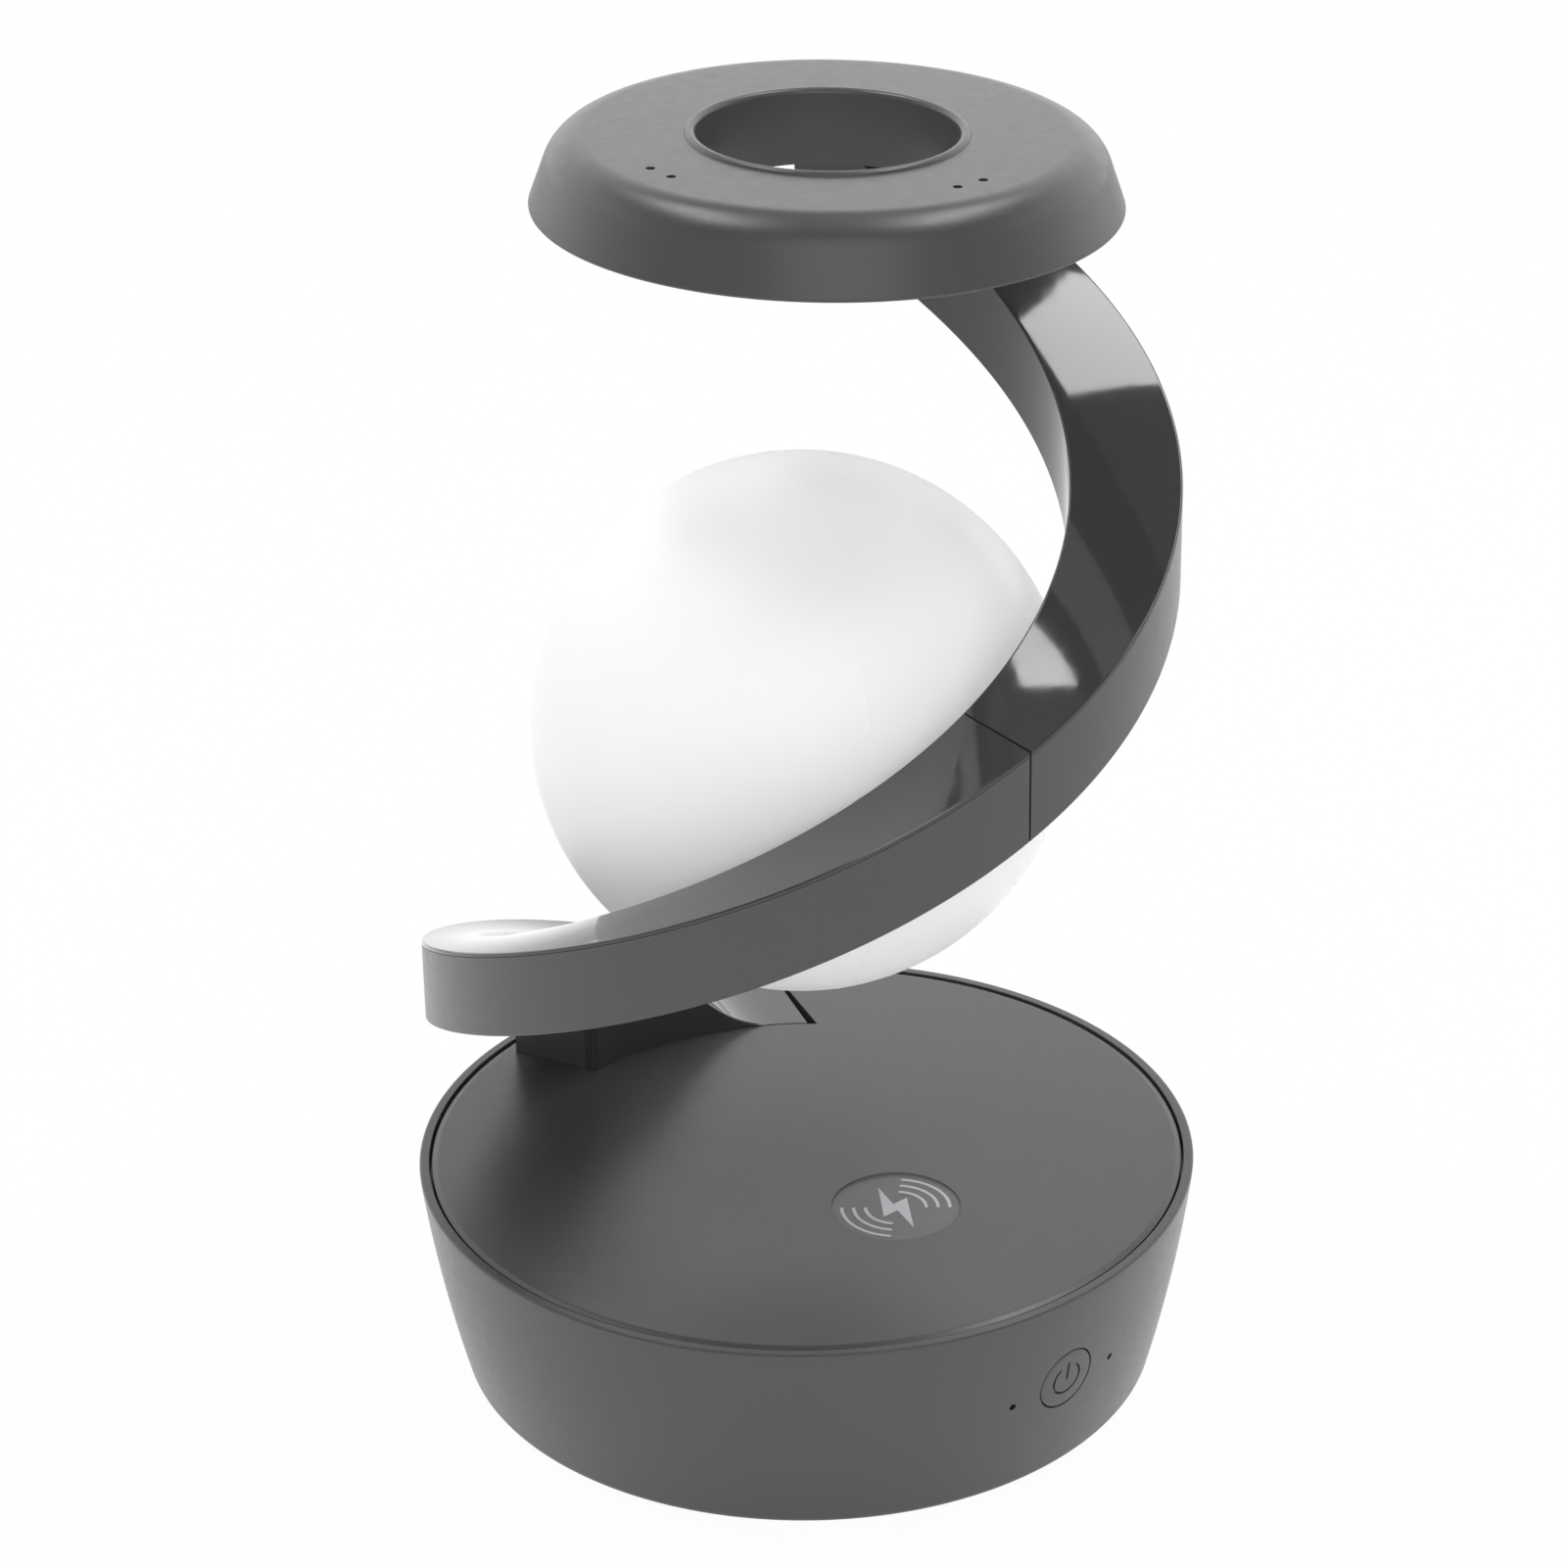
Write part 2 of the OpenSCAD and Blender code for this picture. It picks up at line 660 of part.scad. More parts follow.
module rubber_feet() {
    color("#1c1c1d") around(post_az, post_r) rotate_extrude() polygon([
        [0, 0], [foot_d / 2 - foot_edge, 0], [foot_d / 2, foot_edge],
        [foot_d / 2, plate_z + foot_sink], [0, plate_z + foot_sink]
    ]);
}

module ballast_plate() {
    color("slategray") difference() {
        translate([0, 0, plate_top]) cylinder(r = ballast_r, h = ballast_t);
        for (x = [-1, 1], y = standoff_y) translate([x * standoff_x, y, plate_top - over])
            cylinder(d = standoff_d + 4 * seat, h = ballast_t + 2 * over);
        around(post_az, post_r) translate([0, 0, plate_top - over])
            cylinder(d = pad_d + 4 * seat, h = ballast_t + 2 * over);
        around(ballast_screw_az, ballast_screw_r) translate([0, 0, plate_top - over])
            cylinder(d = screw_d + 2 * seat, h = ballast_t + 2 * over);
    }
}

module ballast_screws() {
    color("silver") around(ballast_screw_az, ballast_screw_r)
        translate([0, 0, plate_top + ballast_t]) mirror([0, 0, 1]) big_screw(ballast_screw_len);
}

module cover_screws() {
    color("silver") around(post_az, post_r)
        translate([0, 0, plate_z + foot_sink + seat + screw_head_h]) big_screw(cover_screw_len);
}

module foot_screws() {
    color("silver") around(foot_screw_az, foot_screw_r) translate([0, 0, shelf_z - shelf_t])
        big_screw(foot_screw_len);
}

module charging_coil() {
    color("peru") translate([charger_x, -charger_y, coil_z]) difference() {
        cylinder(r = coil_r, h = coil_t);
        translate([0, 0, -over]) cylinder(r = coil_hole_r, h = coil_t + 2 * over);
    }
}

module ferrite_disc() {
    color("#3a3735") translate([charger_x, -charger_y, ferrite_z])
        cylinder(r = ferrite_r, h = ferrite_t);
}

module coil_tray() {
    color("#d8d4c8") translate([charger_x, -charger_y, tray_z]) difference() {
        union() {
            cylinder(r = tray_r, h = tray_t + ferrite_t);
            around(ear_az, ear_r) cylinder(d = ear_d, h = tray_t);
            around(ear_az) translate([0, -ear_d / 2, 0]) cube([ear_r, ear_d, tray_t]);
        }
        translate([0, 0, tray_t]) cylinder(r = ferrite_r + seat, h = ferrite_t + over);
        translate([0, 0, -over]) cylinder(r = tray_hole_r, h = tray_t + 2 * over);
        around(ear_az, ear_r) translate([0, 0, -over])
            cylinder(d = fine_screw_d + 2 * seat, h = tray_t + 2 * over);
        around(ear_az, ear_r) translate([0, 0, tray_t])
            cylinder(d = ear_d + 2 * seat, h = ferrite_t + over);
    }
}

module coil_screws() {
    color("silver") translate([charger_x, -charger_y, tray_z]) around(ear_az, ear_r)
        fine_screw(tray_t + coil_screw_len - seat);
}

module main_board() {
    color("darkgreen") difference() {
        union() {
            translate([-board_w / 2, board_y0, board_z]) cube([board_w, board_y1 - board_y0, board_t]);
            translate([-tab_w / 2, board_y0, board_z]) cube([tab_w, tab_y1 - board_y0, board_t]);
        }
        for (x = [-1, 1], y = standoff_y) translate([x * standoff_x, y, board_z - over])
            cylinder(d = fine_screw_d + 2 * seat, h = board_t + 2 * over);
    }
}

// Power inductor, controller, regulator, two capacitors and the connectors of the leads
inductor_at = [-4, 27];
inductor_d = 8;
inductor_h = 4.4;
chip_at = [5, 20];
chip_w = 7;
chip_h = 1;
regulator_at = [5, 31];
regulator_w = 5;
capacitor_at = [[-4, 38], [4, 38]];
capacitor_d = 5;
capacitor_h = 7;
plug_at = [[0, 10], [-10, 15]];
plug_w = 5;
plug_h = 3.6;
module board_parts() {
    color("#303236") translate([0, 0, board_z + board_t]) {
        translate(inductor_at) cylinder(d = inductor_d, h = inductor_h);
        translate(concat(chip_at, chip_h / 2)) cube([chip_w, chip_w, chip_h], center = true);
        translate(concat(regulator_at, chip_h / 2))
            cube([regulator_w, regulator_w, chip_h], center = true);
        for (p = capacitor_at) translate(p) cylinder(d = capacitor_d, h = capacitor_h);
        for (p = concat(plug_at, [cable_xy])) translate(concat(p, plug_h / 2))
            cube([plug_w, plug_w, plug_h], center = true);
    }
}

module board_screws() {
    color("silver") for (x = [-1, 1], y = standoff_y)
        translate([x * standoff_x, y, board_z + board_t]) mirror([0, 0, 1])
            fine_screw(fine_screw_len + board_t - seat);
}

module charging_emblem() {
    color("whitesmoke") translate([charger_x, -charger_y, deck_z - emblem_t])
        cylinder(d = emblem_d, h = emblem_t);
}

// Generic charging sign: a lightning stroke between waves that spread to both sides
bolt_shares = [[0.16, 0.5], [-0.26, -0.06], [-0.03, -0.06], [-0.16, -0.5], [0.26, 0.08], [0.03, 0.08]];
module emblem_mark() {
    color("silver") translate([charger_x, -charger_y, deck_z - emblem_t - mark_t])
        linear_extrude(mark_t) {
            for (s = [0, 180], k = [0 : mark_arc_count - 1])
                rotate(s) arc_2d(mark_arc_r + k * mark_arc_step);
            polygon([for (p = bolt_shares) p * bolt_h]);
        }
}
module arc_2d(r) {
    intersection() {
        difference() {
            circle(r = r + mark_stroke / 2);
            circle(r = r - mark_stroke / 2);
        }
        polygon([[0, 0], polar(2 * r, -mark_arc_half_deg), polar(2 * r, mark_arc_half_deg)]);
    }
}

// Cap that fills the wall's hole and follows its bow, with a flange and a post behind
module power_button() {
    color("dimgray") difference() {
        union() {
            intersection() {
                front_place() translate([0, 0, flange_back])
                    cylinder(d = button_d, h = base_r - flange_back);
                drum();
            }
            front_place() translate([0, 0, flange_back]) cylinder(d = flange_d, h = flange_t);
            front_place() translate([0, 0, post_tip])
                cylinder(d = button_post_d, h = button_post_len + flange_t / 2);
        }
        difference() {
            front_place() translate([0, 0, guide_in]) linear_extrude(base_r - guide_in) power_symbol();
            drum(symbol_deep);
        }
    }
}
module power_symbol() {
    bar_rise = symbol_d / 2;
    difference() {
        circle(d = symbol_d + symbol_stroke);
        circle(d = symbol_d - symbol_stroke);
        polygon([[0, 0], polar(symbol_d, 90 - symbol_gap_deg), polar(symbol_d, 90 + symbol_gap_deg)]);
    }
    translate([-symbol_stroke / 2, bar_rise - symbol_bar + symbol_stroke])
        square([symbol_stroke, symbol_bar]);
}

module switch_plunger() {
    color("#1c1c1d") front_place() translate([0, 0, post_tip - plunger_len])
        cylinder(d = button_post_d, h = plunger_len);
}

module tact_switch() {
    color("silver") front_place() difference() {
        translate([-switch_w / 2, -switch_w / 2, small_board_front])
            cube([switch_w, switch_w, switch_t]);
        translate([0, 0, small_board_front + switch_floor])
            cylinder(d = button_post_d + 2 * slide_fit, h = switch_t + over);
    }
}

module button_board() {
    color("darkgreen") front_place() difference() {
        translate([-small_board_w / 2, -small_board_h / 2, small_board_back])
            cube([small_board_w, small_board_h, small_board_t]);
        for (s = [-1, 1]) translate([s * small_boss_x, -small_boss_drop, small_board_back - over])
            cylinder(d = fine_screw_d + 2 * seat, h = small_board_t + 2 * over);
    }
}

module button_screws() {
    color("silver") front_place() for (s = [-1, 1])
        translate([s * small_boss_x, -small_boss_drop, small_board_back])
            fine_screw(fine_screw_len + small_board_t - seat);
}

// Clear light pipes that end flush in the wall's pinholes
module light_place(s) {
    rotate([0, 0, s * light_turn]) front_place() translate([0, -light_drop, 0]) children();
}
module indicator_lights() {
    color("whitesmoke") for (s = [-1, 1]) {
        intersection() {
            light_place(s) translate([0, 0, light_in]) cylinder(d = pinhole_d, h = base_r - light_in);
            drum(light_sink);
        }
        light_place(s) translate([0, 0, light_in])
            cylinder(d = light_body_d, h = wall_in(button_z - light_body_d) - light_in - seat);
    }
}

module indicator_leds() {
    color("khaki") front_place() for (s = [-1, 1])
        translate([s * small_board_front * tan(light_turn) - led_w / 2, -light_drop - led_w / 2,
            small_board_front]) cube([led_w, led_w, led_t]);
}

module usb_socket() {
    color("silver") translate([0, usb_front_y, usb_z]) rotate([90, 0, 0]) difference() {
        linear_extrude(usb_len) slot_2d(usb_w, usb_h);
        translate([0, 0, -over]) linear_extrude(usb_len + over - usb_wall)
            slot_2d(usb_w - 2 * usb_wall, usb_h - 2 * usb_wall);
    }
}

module usb_tongue() {
    color("#1c1c1d") translate([-tongue_w / 2, usb_front_y - usb_len + usb_wall,
        usb_z - tongue_h / 2]) cube([tongue_w, usb_len - usb_wall - tongue_short, tongue_h]);
}

// Leads in the base: to the charging coil and to the button's board
lead_d = 2;
coil_lead_rise = 3;
module base_wires() {
    plug_top = board_z + board_t + plug_h;
    coil_end = [charger_x + coil_hole_r, -charger_y + ferrite_r - lead_d * 2, tray_z - lead_d / 4];
    coil_plug = concat(plug_at[0], plug_top + lead_d / 2);
    button_plug = concat(plug_at[1], plug_top + lead_d / 2);
    button_end = [plug_at[1].x / 2, lead_d / 4 - small_board_back, button_z - small_board_h / 3];
    color("firebrick") {
        wire(arc_path(coil_plug, coil_plug + [0, 0, coil_lead_rise],
            coil_end - [0, 0, coil_lead_rise], coil_end), lead_d);
        wire(arc_path(button_plug, button_plug + [0, 0, 2 * coil_lead_rise],
            button_end + [0, 4 * coil_lead_rise, 0], button_end), lead_d);
    }
}
function arc_path(a, b, c, d) = [
    for (t = span(0, 1, 10)) a * pow(1 - t, 3) + 3 * b * t * pow(1 - t, 2)
        + 3 * c * t * t * (1 - t) + d * pow(t, 3)
];

lower_stops = concat(
    stops(ramp_az, foot_az - wall_deg(arm_mid(foot_az)) - hair_deg),
    [foot_az - wall_deg(arm_mid(foot_az)) + hair_deg, foot_az, foot_az + hair_deg],
    stops(foot_az + arm_step, parting_az - parting_w / arm_mid(parting_az) * 90 / PI)
);
upper_stops = concat(
    stops(parting_az + parting_w / arm_mid(parting_az) * 90 / PI, contact_az),
    stops(contact_az + arm_step / 2, arm_end - wall_deg(arm_mid(arm_end)) - hair_deg),
    [arm_end - wall_deg(arm_mid(arm_end)) + hair_deg, arm_end]
);

module plug_screw_holes(a, over_len) {
    for (r = [land_in(a), land_out(a)]) arm_place(a, r) {
        translate([0, 0, -over_len]) cylinder(d = fine_head_d + 2 * seat,
            h = over_len + fine_head_h + seat);
        cylinder(d = fine_screw_d + 2 * seat, h = fine_screw_len + fine_head_h + 2 * seat);
    }
}
module plug_screws(a) {
    for (r = [land_in(a), land_out(a)]) arm_place(a, r)
        translate([0, 0, fine_head_h + seat]) fine_screw(fine_screw_len);
}

module arm_lower_body() {
    color("dimgray") difference() {
        union() {
            skin([for (a = lower_stops) body_section(a)]);
            around(foot_screw_az, foot_screw_r) translate([0, 0, shelf_z + over])
                cylinder(d = foot_boss_d, h = foot_boss_h + arm_wall_t - over);
        }
        around(foot_screw_az, foot_screw_r) translate([0, 0, shelf_z - over])
            cylinder(d = screw_d + 2 * seat, h = foot_screw_len - shelf_t + over + seat);
        translate([cable_xy.x, cable_xy.y, shelf_z - over])
            cylinder(d = cable_hole_d, h = arm_wall_t + 2 * over);
        plug_screw_holes(parting_az - plug_screw_turn, fine_head_h);
    }
}

module arm_lower_cover() {
    color("#3c3c3e") difference() {
        skin([for (a = lower_stops) cover_section(a)]);
        neck_place() cylinder(d = neck_d + 2 * seat, h = neck_end + over);
    }
}

module arm_upper_body() {
    color("dimgray") difference() {
        skin([for (a = upper_stops) body_section(a)]);
        plug_screw_holes(parting_az + plug_screw_turn, fine_head_h);
        plug_screw_holes(bracket_screw_az, fine_head_h);
        stem_place() translate([0, 0, -cover_t - over - seat])
            cylinder(d = stem_d + 2 * seat, h = ring_h);
    }
}

module arm_upper_cover() {
    color("#3c3c3e") difference() {
        skin([for (a = upper_stops) cover_section(a)]);
        stem_place() translate([0, 0, -ring_h]) cylinder(d = stem_d + 2 * seat, h = 2 * ring_h);
    }
}

module arm_joint_plug() {
    color("#2e2f31") difference() {
        skin([for (a = stops(parting_az - plug_turn, parting_az + plug_turn)) plug_section(a)]);
        for (s = [-1, 1]) plug_screw_holes(parting_az + s * plug_screw_turn, 0);
    }
}

module joint_screws() {
    color("silver") for (s = [-1, 1]) plug_screws(parting_az + s * plug_screw_turn);
}

// Cable from the main board up through the foot, along the arm's floor and up the stem
cable_xy = polar(arm_mid(cable_az), cable_az);
cable_climb_az = [73, 73, 74.5, 78, 83, 90, 99];
cable_climb_z = [-8, 0.4, 2.8, 5, 8.2, 12.4, 16.2];
cable_lay = cable_d / 2 + 3 * seat;
function cable_at(a, z) = concat(polar(arm_mid(a), a), z);
function in_stem(q) = let (s = ring_r - arm_w_end / 2, c = cos(ring_stem_az), k = sin(ring_stem_az),
    p = ring_xy + [(s + q.x) * c - q.y * k, (s + q.x) * k + q.y * c])
    [p.x + q.z * lean_n.x, p.y + q.z * lean_n.y, ring_z + lean_rise(p - ring_xy) + q.z];
stem_top = ring_plate_t + seat + stem_nut_t + stem_over;
cable_over = ring_board_z + ring_board_t + cable_d / 2 + seat;
module arm_cable() {
    lay = arm_floor(stem_az) + cable_lay - ring_z;
    route = concat(
        [cable_at(cable_az, board_z + board_t + plug_h)],
        [for (i = [0 : len(cable_climb_az) - 1]) cable_at(cable_climb_az[i], deck_z + cable_climb_z[i])],
        [for (a = stops(foot_az + arm_step, stem_az - 2 * arm_step))
            if (floor((a - foot_az) / arm_step) % 2 == 0 || a > bracket_az)
                cable_at(a, arm_floor(a) + cable_lay)],
        [in_stem([0, -cable_d, lay - cable_d / 2]), in_stem([0, -cable_d / 3, lay - cable_d / 12]),
            in_stem([0, 0, lay + cable_d / 2]), in_stem([0, 0, 0]),
            in_stem([0, 0, stem_top]), in_stem([-cable_d / 6, cable_d / 4, stem_top + cable_d / 3]),
            in_stem([-cable_d / 2, cable_d, cable_over]),
            in_stem([-cable_d * 1.6, ring_r / 4, cable_over])]
    );
    color("#1c1c1d") wire(route, cable_d);
}

module globe() {
    color("white") difference() {
        translate([0, 0, ball_z]) sphere(r = ball_r);
        translate([0, 0, ball_z]) sphere(r = ball_r - ball_t);
        neck_place() cylinder(d = neck_d + 2 * seat, h = ball_r + over);
    }
}

// Threaded tube through the globe's wall and the arm's, with a collar between the two
module globe_collar() {
    color("silver") neck_place() difference() {
        union() {
            translate([0, 0, clamp_x - neck_inside])
                cylinder(d = neck_d, h = neck_end - clamp_x + neck_inside);
            translate([0, 0, ball_reach]) cylinder(d = collar_d, h = arm_face - collar_back
                - ball_reach - seat);
        }
        translate([0, 0, clamp_x - neck_inside - over])
            cylinder(d = neck_d - 2 * neck_wall, h = neck_end);
    }
}

module globe_nut() {
    color("silver") neck_place() translate([0, 0, nut_x]) difference() {
        hex(nut_w, nut_t);
        translate([0, 0, -over]) cylinder(d = neck_d + 2 * seat, h = nut_t + 2 * over);
    }
}

// Lamp stem inside the globe: a clamp cup on the tube and a flange for the light board
module light_post() {
    color("gainsboro") neck_place() difference() {
        union() {
            translate([0, 0, clamp_x - clamp_t]) cylinder(d = clamp_d, h = clamp_t);
            translate([0, 0, post_end]) cylinder(d = neck_d + 2 * neck_wall + 2 * seat,
                h = clamp_x - post_end);
            translate([0, 0, post_end]) cylinder(d = post_flange_d, h = post_flange_t);
        }
        translate([0, 0, post_end - over]) cylinder(d = neck_d - 2 * neck_wall, h = clamp_x);
        translate([0, 0, clamp_x - neck_inside - seat])
            cylinder(d = neck_d + 2 * seat, h = neck_inside + over);
    }
}

module globe_light_board() {
    color("white") neck_place() translate([0, 0, post_end - light_board_t])
        cylinder(r = light_board_r, h = light_board_t);
}

module globe_leds() {
    color("khaki") neck_place() around(span(0, 360 - 360 / light_led_count, light_led_count - 1),
        light_led_r) translate([-light_led_w / 2, -light_led_w / 2,
            post_end - light_board_t - light_led_t]) cube([light_led_w, light_led_w, light_led_t]);
}

module globe_cable() {
    color("#1c1c1d") neck_place() translate([0, 0, post_end])
        cylinder(d = globe_cable_d, h = neck_end + over - post_end);
}

// Ring shell: leaning outer wall, large rounding, flat top, bead and a hole that narrows downward
hole_top_r = hole_r + ring_lip;
round_deg = atan(ring_draft);
round_z = ring_h - ring_round;
round_x = ring_r - ring_draft * (round_z + ring_round * sin(round_deg))
    - ring_round * cos(round_deg);
inner_wall_r = ring_r - ring_t / cos(round_deg);
function hole_at(z) = hole_r + ring_lip * z / ring_h;
module ring_profile() {
    difference() {
        union() {
            polygon([
                [hole_at(0), 0], [ring_r, 0],
                [round_x + ring_round * cos(round_deg), round_z + ring_round * sin(round_deg)],
                [round_x + ring_round * cos(45), round_z + ring_round * sin(45)],
                [round_x, ring_h], [hole_at(ring_h), ring_h]
            ]);
            intersection() {
                translate([round_x, round_z]) circle(r = ring_round);
                translate([round_x, round_z]) square(ring_round + over);
            }
            translate([hole_top_r + bead_r, ring_h - bead_r / 3]) circle(r = bead_r);
        }
        ring_hollow(ring_t);
    }
}
module ring_hollow(t) {
    r = ring_round - t;
    wall_r = ring_r - t / cos(round_deg);
    polygon([
        [hole_at(0) + t, -over], [wall_r + ring_draft * over, -over],
        [round_x + r * cos(round_deg), round_z + r * sin(round_deg)],
        [round_x + r * cos(45), round_z + r * sin(45)],
        [round_x, ring_h - t], [hole_at(ring_h) + t, ring_h - t]
    ]);
    intersection() {
        translate([round_x, round_z]) circle(r = r);
        translate([round_x, round_z]) square(ring_round);
    }
}
module ring_bosses() {
    board_post_z = ring_board_z + ring_board_t;
    intersection() {
        union() {
            around(ring_boss_az, ring_boss_r) translate([0, 0, ring_plate_t + seat])
                cylinder(d = ring_boss_d, h = ring_h);
            around(ring_post_az, (ring_board_r0 + ring_board_r1) / 2 - ring_post_d)
                translate([0, 0, board_post_z]) cylinder(d = ring_post_d, h = ring_h);
        }
        rotate_extrude() ring_hollow(ring_t / 2);
    }
}
module ring_shell() {
    color("gray") ring_place() difference() {
        union() {
            rotate_extrude() ring_profile();
            ring_bosses();
        }
        around(ring_boss_az, ring_boss_r) cylinder(d = fine_screw_d + 2 * seat,
            h = fine_head_h + fine_screw_len + seat);
        around(pinhole_az, pinhole_r) translate([0, 0, ring_h - ring_t - over])
            cylinder(d = ring_pinhole_d, h = ring_t + 2 * over);
    }
}

module ring_arc(r0, r1, h, open_deg) {
    rotate([0, 0, ring_stem_az + open_deg / 2]) rotate_extrude(angle = 360 - open_deg)
        translate([r0, 0]) square([r1 - r0, h]);
}

module ring_bottom_plate() {
    edge_in = hole_at(over) + ring_t + seat;
    edge_out = inner_wall_r - 2 * seat;
    lead = ring_draft * ring_plate_t;
    color("#3c3c3e") ring_place() difference() {
        rotate_extrude() polygon([
            [edge_in, 0], [edge_out, 0], [edge_out - lead, ring_plate_t],
            [edge_in + ring_lip * ring_plate_t / ring_h, ring_plate_t]
        ]);
        translate([0, 0, -over]) ring_arc(ring_window_r0, ring_window_r1, ring_plate_t + 2 * over,
            ring_window_deg);
        around(ring_boss_az, ring_boss_r) {
            translate([0, 0, -over]) cylinder(d = fine_screw_d + 2 * seat, h = 3 * ring_plate_t);
            translate([0, 0, -over]) cylinder(d = fine_head_d + 2 * seat,
                h = over + fine_head_h + seat);
        }
        rotate([0, 0, ring_stem_az]) translate([ring_r - arm_w_end / 2, 0, -over])
            cylinder(d = stem_d + 2 * seat, h = ring_plate_t + 2 * over);
    }
}

module ring_diffuser() {
    color("white") ring_place() {
        ring_arc(ring_window_r0 + seat, ring_window_r1 - seat, ring_plate_t + diffuser_flange_t / 2,
            ring_window_deg + 1);
        translate([0, 0, ring_plate_t]) ring_arc(ring_window_r0 - diffuser_flange,
            ring_window_r1 + diffuser_flange, diffuser_flange_t, ring_window_deg + 1);
    }
}

module ring_light_board() {
    color("white") ring_place() translate([0, 0, ring_board_z])
        ring_arc(ring_board_r0, ring_board_r1, ring_board_t, ring_board_deg);
}

module ring_leds() {
    first = ring_stem_az + ring_board_deg;
    last = ring_stem_az + 360 - ring_board_deg;
    color("khaki") ring_place() around(span(first, last, ring_led_count - 1), ring_led_r)
        translate([-ring_led_w / 2, -ring_led_w / 2, ring_board_z - ring_led_t])
            cube([ring_led_w, ring_led_w, ring_led_t]);
}

module ring_screws() {
    color("silver") ring_place() around(ring_boss_az, ring_boss_r)
        translate([0, 0, fine_head_h + seat]) fine_screw(fine_screw_len);
}

// Block in the arm's end with a hollow threaded stem that carries the ring
module ring_bracket() {
    block_end = arm_end - wall_deg(arm_mid(arm_end)) - bracket_end_gap;
    color("silver") difference() {
        union() {
            difference() {
                skin([for (a = concat(stops(bracket_az, contact_az - hair_deg),
                    stops(contact_az + hair_deg, block_end))) plug_section(a)]);
                plug_screw_holes(bracket_screw_az, 0);
            }
            stem_place() translate([0, 0, -cover_t - over]) cylinder(d = stem_d,
                h = cover_t + over + stem_top);
        }
        stem_place() translate([0, 0, -ring_h - over]) cylinder(d = stem_bore_d, h = 3 * ring_h);
    }
}

module stem_nut() {
    color("silver") stem_place() translate([0, 0, ring_plate_t + seat]) difference() {
        rotate([0, 0, 30]) hex(stem_nut_w, stem_nut_t);
        translate([0, 0, -over]) cylinder(d = stem_d + 2 * seat, h = stem_nut_t + 2 * over);
    }
}

module bracket_screws() {
    color("silver") plug_screws(bracket_screw_az);
}

base_shell();
deck_plate();
bottom_cover();
rubber_feet();
ballast_plate();
ballast_screws();
cover_screws();
foot_screws();
charging_coil();
ferrite_disc();
coil_tray();
coil_screws();
main_board();
board_parts();
board_screws();
charging_emblem();
emblem_mark();
power_button();
switch_plunger();
tact_switch();
button_board();
button_screws();
indicator_lights();
indicator_leds();
usb_socket();
usb_tongue();
base_wires();
arm_lower_body();
arm_lower_cover();
arm_upper_body();
arm_upper_cover();
arm_joint_plug();
joint_screws();
arm_cable();
globe();
globe_collar();
globe_nut();
light_post();
globe_light_board();
globe_leds();
globe_cable();
ring_shell();
ring_bottom_plate();
ring_diffuser();
ring_light_board();
ring_leds();
ring_screws();
ring_bracket();
stem_nut();
bracket_screws();
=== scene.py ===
import json
from math import acos, asin, atan, ceil, cos, degrees, exp, pi, radians, sin, sqrt, tan

import bmesh
import bpy
from bpy.props import FloatProperty, FloatVectorProperty, IntProperty, PointerProperty
from mathutils import Matrix, Vector

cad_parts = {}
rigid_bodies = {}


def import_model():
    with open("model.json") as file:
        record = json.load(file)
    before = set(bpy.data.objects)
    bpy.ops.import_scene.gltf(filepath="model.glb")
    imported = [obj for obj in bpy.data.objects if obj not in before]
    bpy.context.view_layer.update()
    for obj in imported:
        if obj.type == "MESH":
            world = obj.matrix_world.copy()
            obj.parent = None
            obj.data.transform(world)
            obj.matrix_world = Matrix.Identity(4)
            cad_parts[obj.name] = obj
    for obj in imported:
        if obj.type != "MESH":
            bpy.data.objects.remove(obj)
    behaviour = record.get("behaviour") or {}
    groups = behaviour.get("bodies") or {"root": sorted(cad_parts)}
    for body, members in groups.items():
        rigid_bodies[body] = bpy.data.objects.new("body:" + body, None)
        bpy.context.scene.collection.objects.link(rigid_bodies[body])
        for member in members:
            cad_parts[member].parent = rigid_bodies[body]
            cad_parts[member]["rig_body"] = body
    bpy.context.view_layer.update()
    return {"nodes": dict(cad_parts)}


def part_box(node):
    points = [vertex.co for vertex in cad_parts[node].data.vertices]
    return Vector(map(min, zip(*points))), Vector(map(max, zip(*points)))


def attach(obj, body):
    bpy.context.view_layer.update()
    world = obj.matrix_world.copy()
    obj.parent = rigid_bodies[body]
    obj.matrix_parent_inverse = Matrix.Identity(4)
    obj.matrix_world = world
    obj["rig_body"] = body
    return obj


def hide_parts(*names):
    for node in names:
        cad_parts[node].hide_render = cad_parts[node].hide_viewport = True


bl_info = {
    "name": "Levitating ball lamp",
    "version": (1, 0, 0),
    "blender": (4, 5, 0),
    "location": "3D View > Sidebar > Lamp",
    "description": "Builds the lamp's moulded shells, globe, finishes and studio round its frame",
    "category": "Object",
}

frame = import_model()
NODES = frame["nodes"]
MM = 0.001
# Azimuths of the ring's four small holes
PINHOLES = (173.4, 182.3, 264.4, 273.5)
# Soft boxes: where they hang, seen from the camera (right, away, up, in metres from the lamp's
# middle), width, length, brightness against a white sheet, and whether they hang level
SOFT_BOXES = {
    "right strip": ((0.453, 0.32, 1.1), 0.27, 0.8, 8.5, True),
    "left strip": ((-0.425, 0.256, 1.1), 0.27, 0.712, 8.5, True),
    "front box": ((0.1, -0.88, 0.62), 0.9, 0.9, 1.2, False),
}


def linear(code):
    """A colour written as an sRGB hex code, as linear light."""
    parts = [int(code[i:i + 2], 16) / 255 for i in (1, 3, 5)]
    return tuple(c / 12.92 if c <= 0.04045 else ((c + 0.055) / 1.055) ** 2.4 for c in parts)


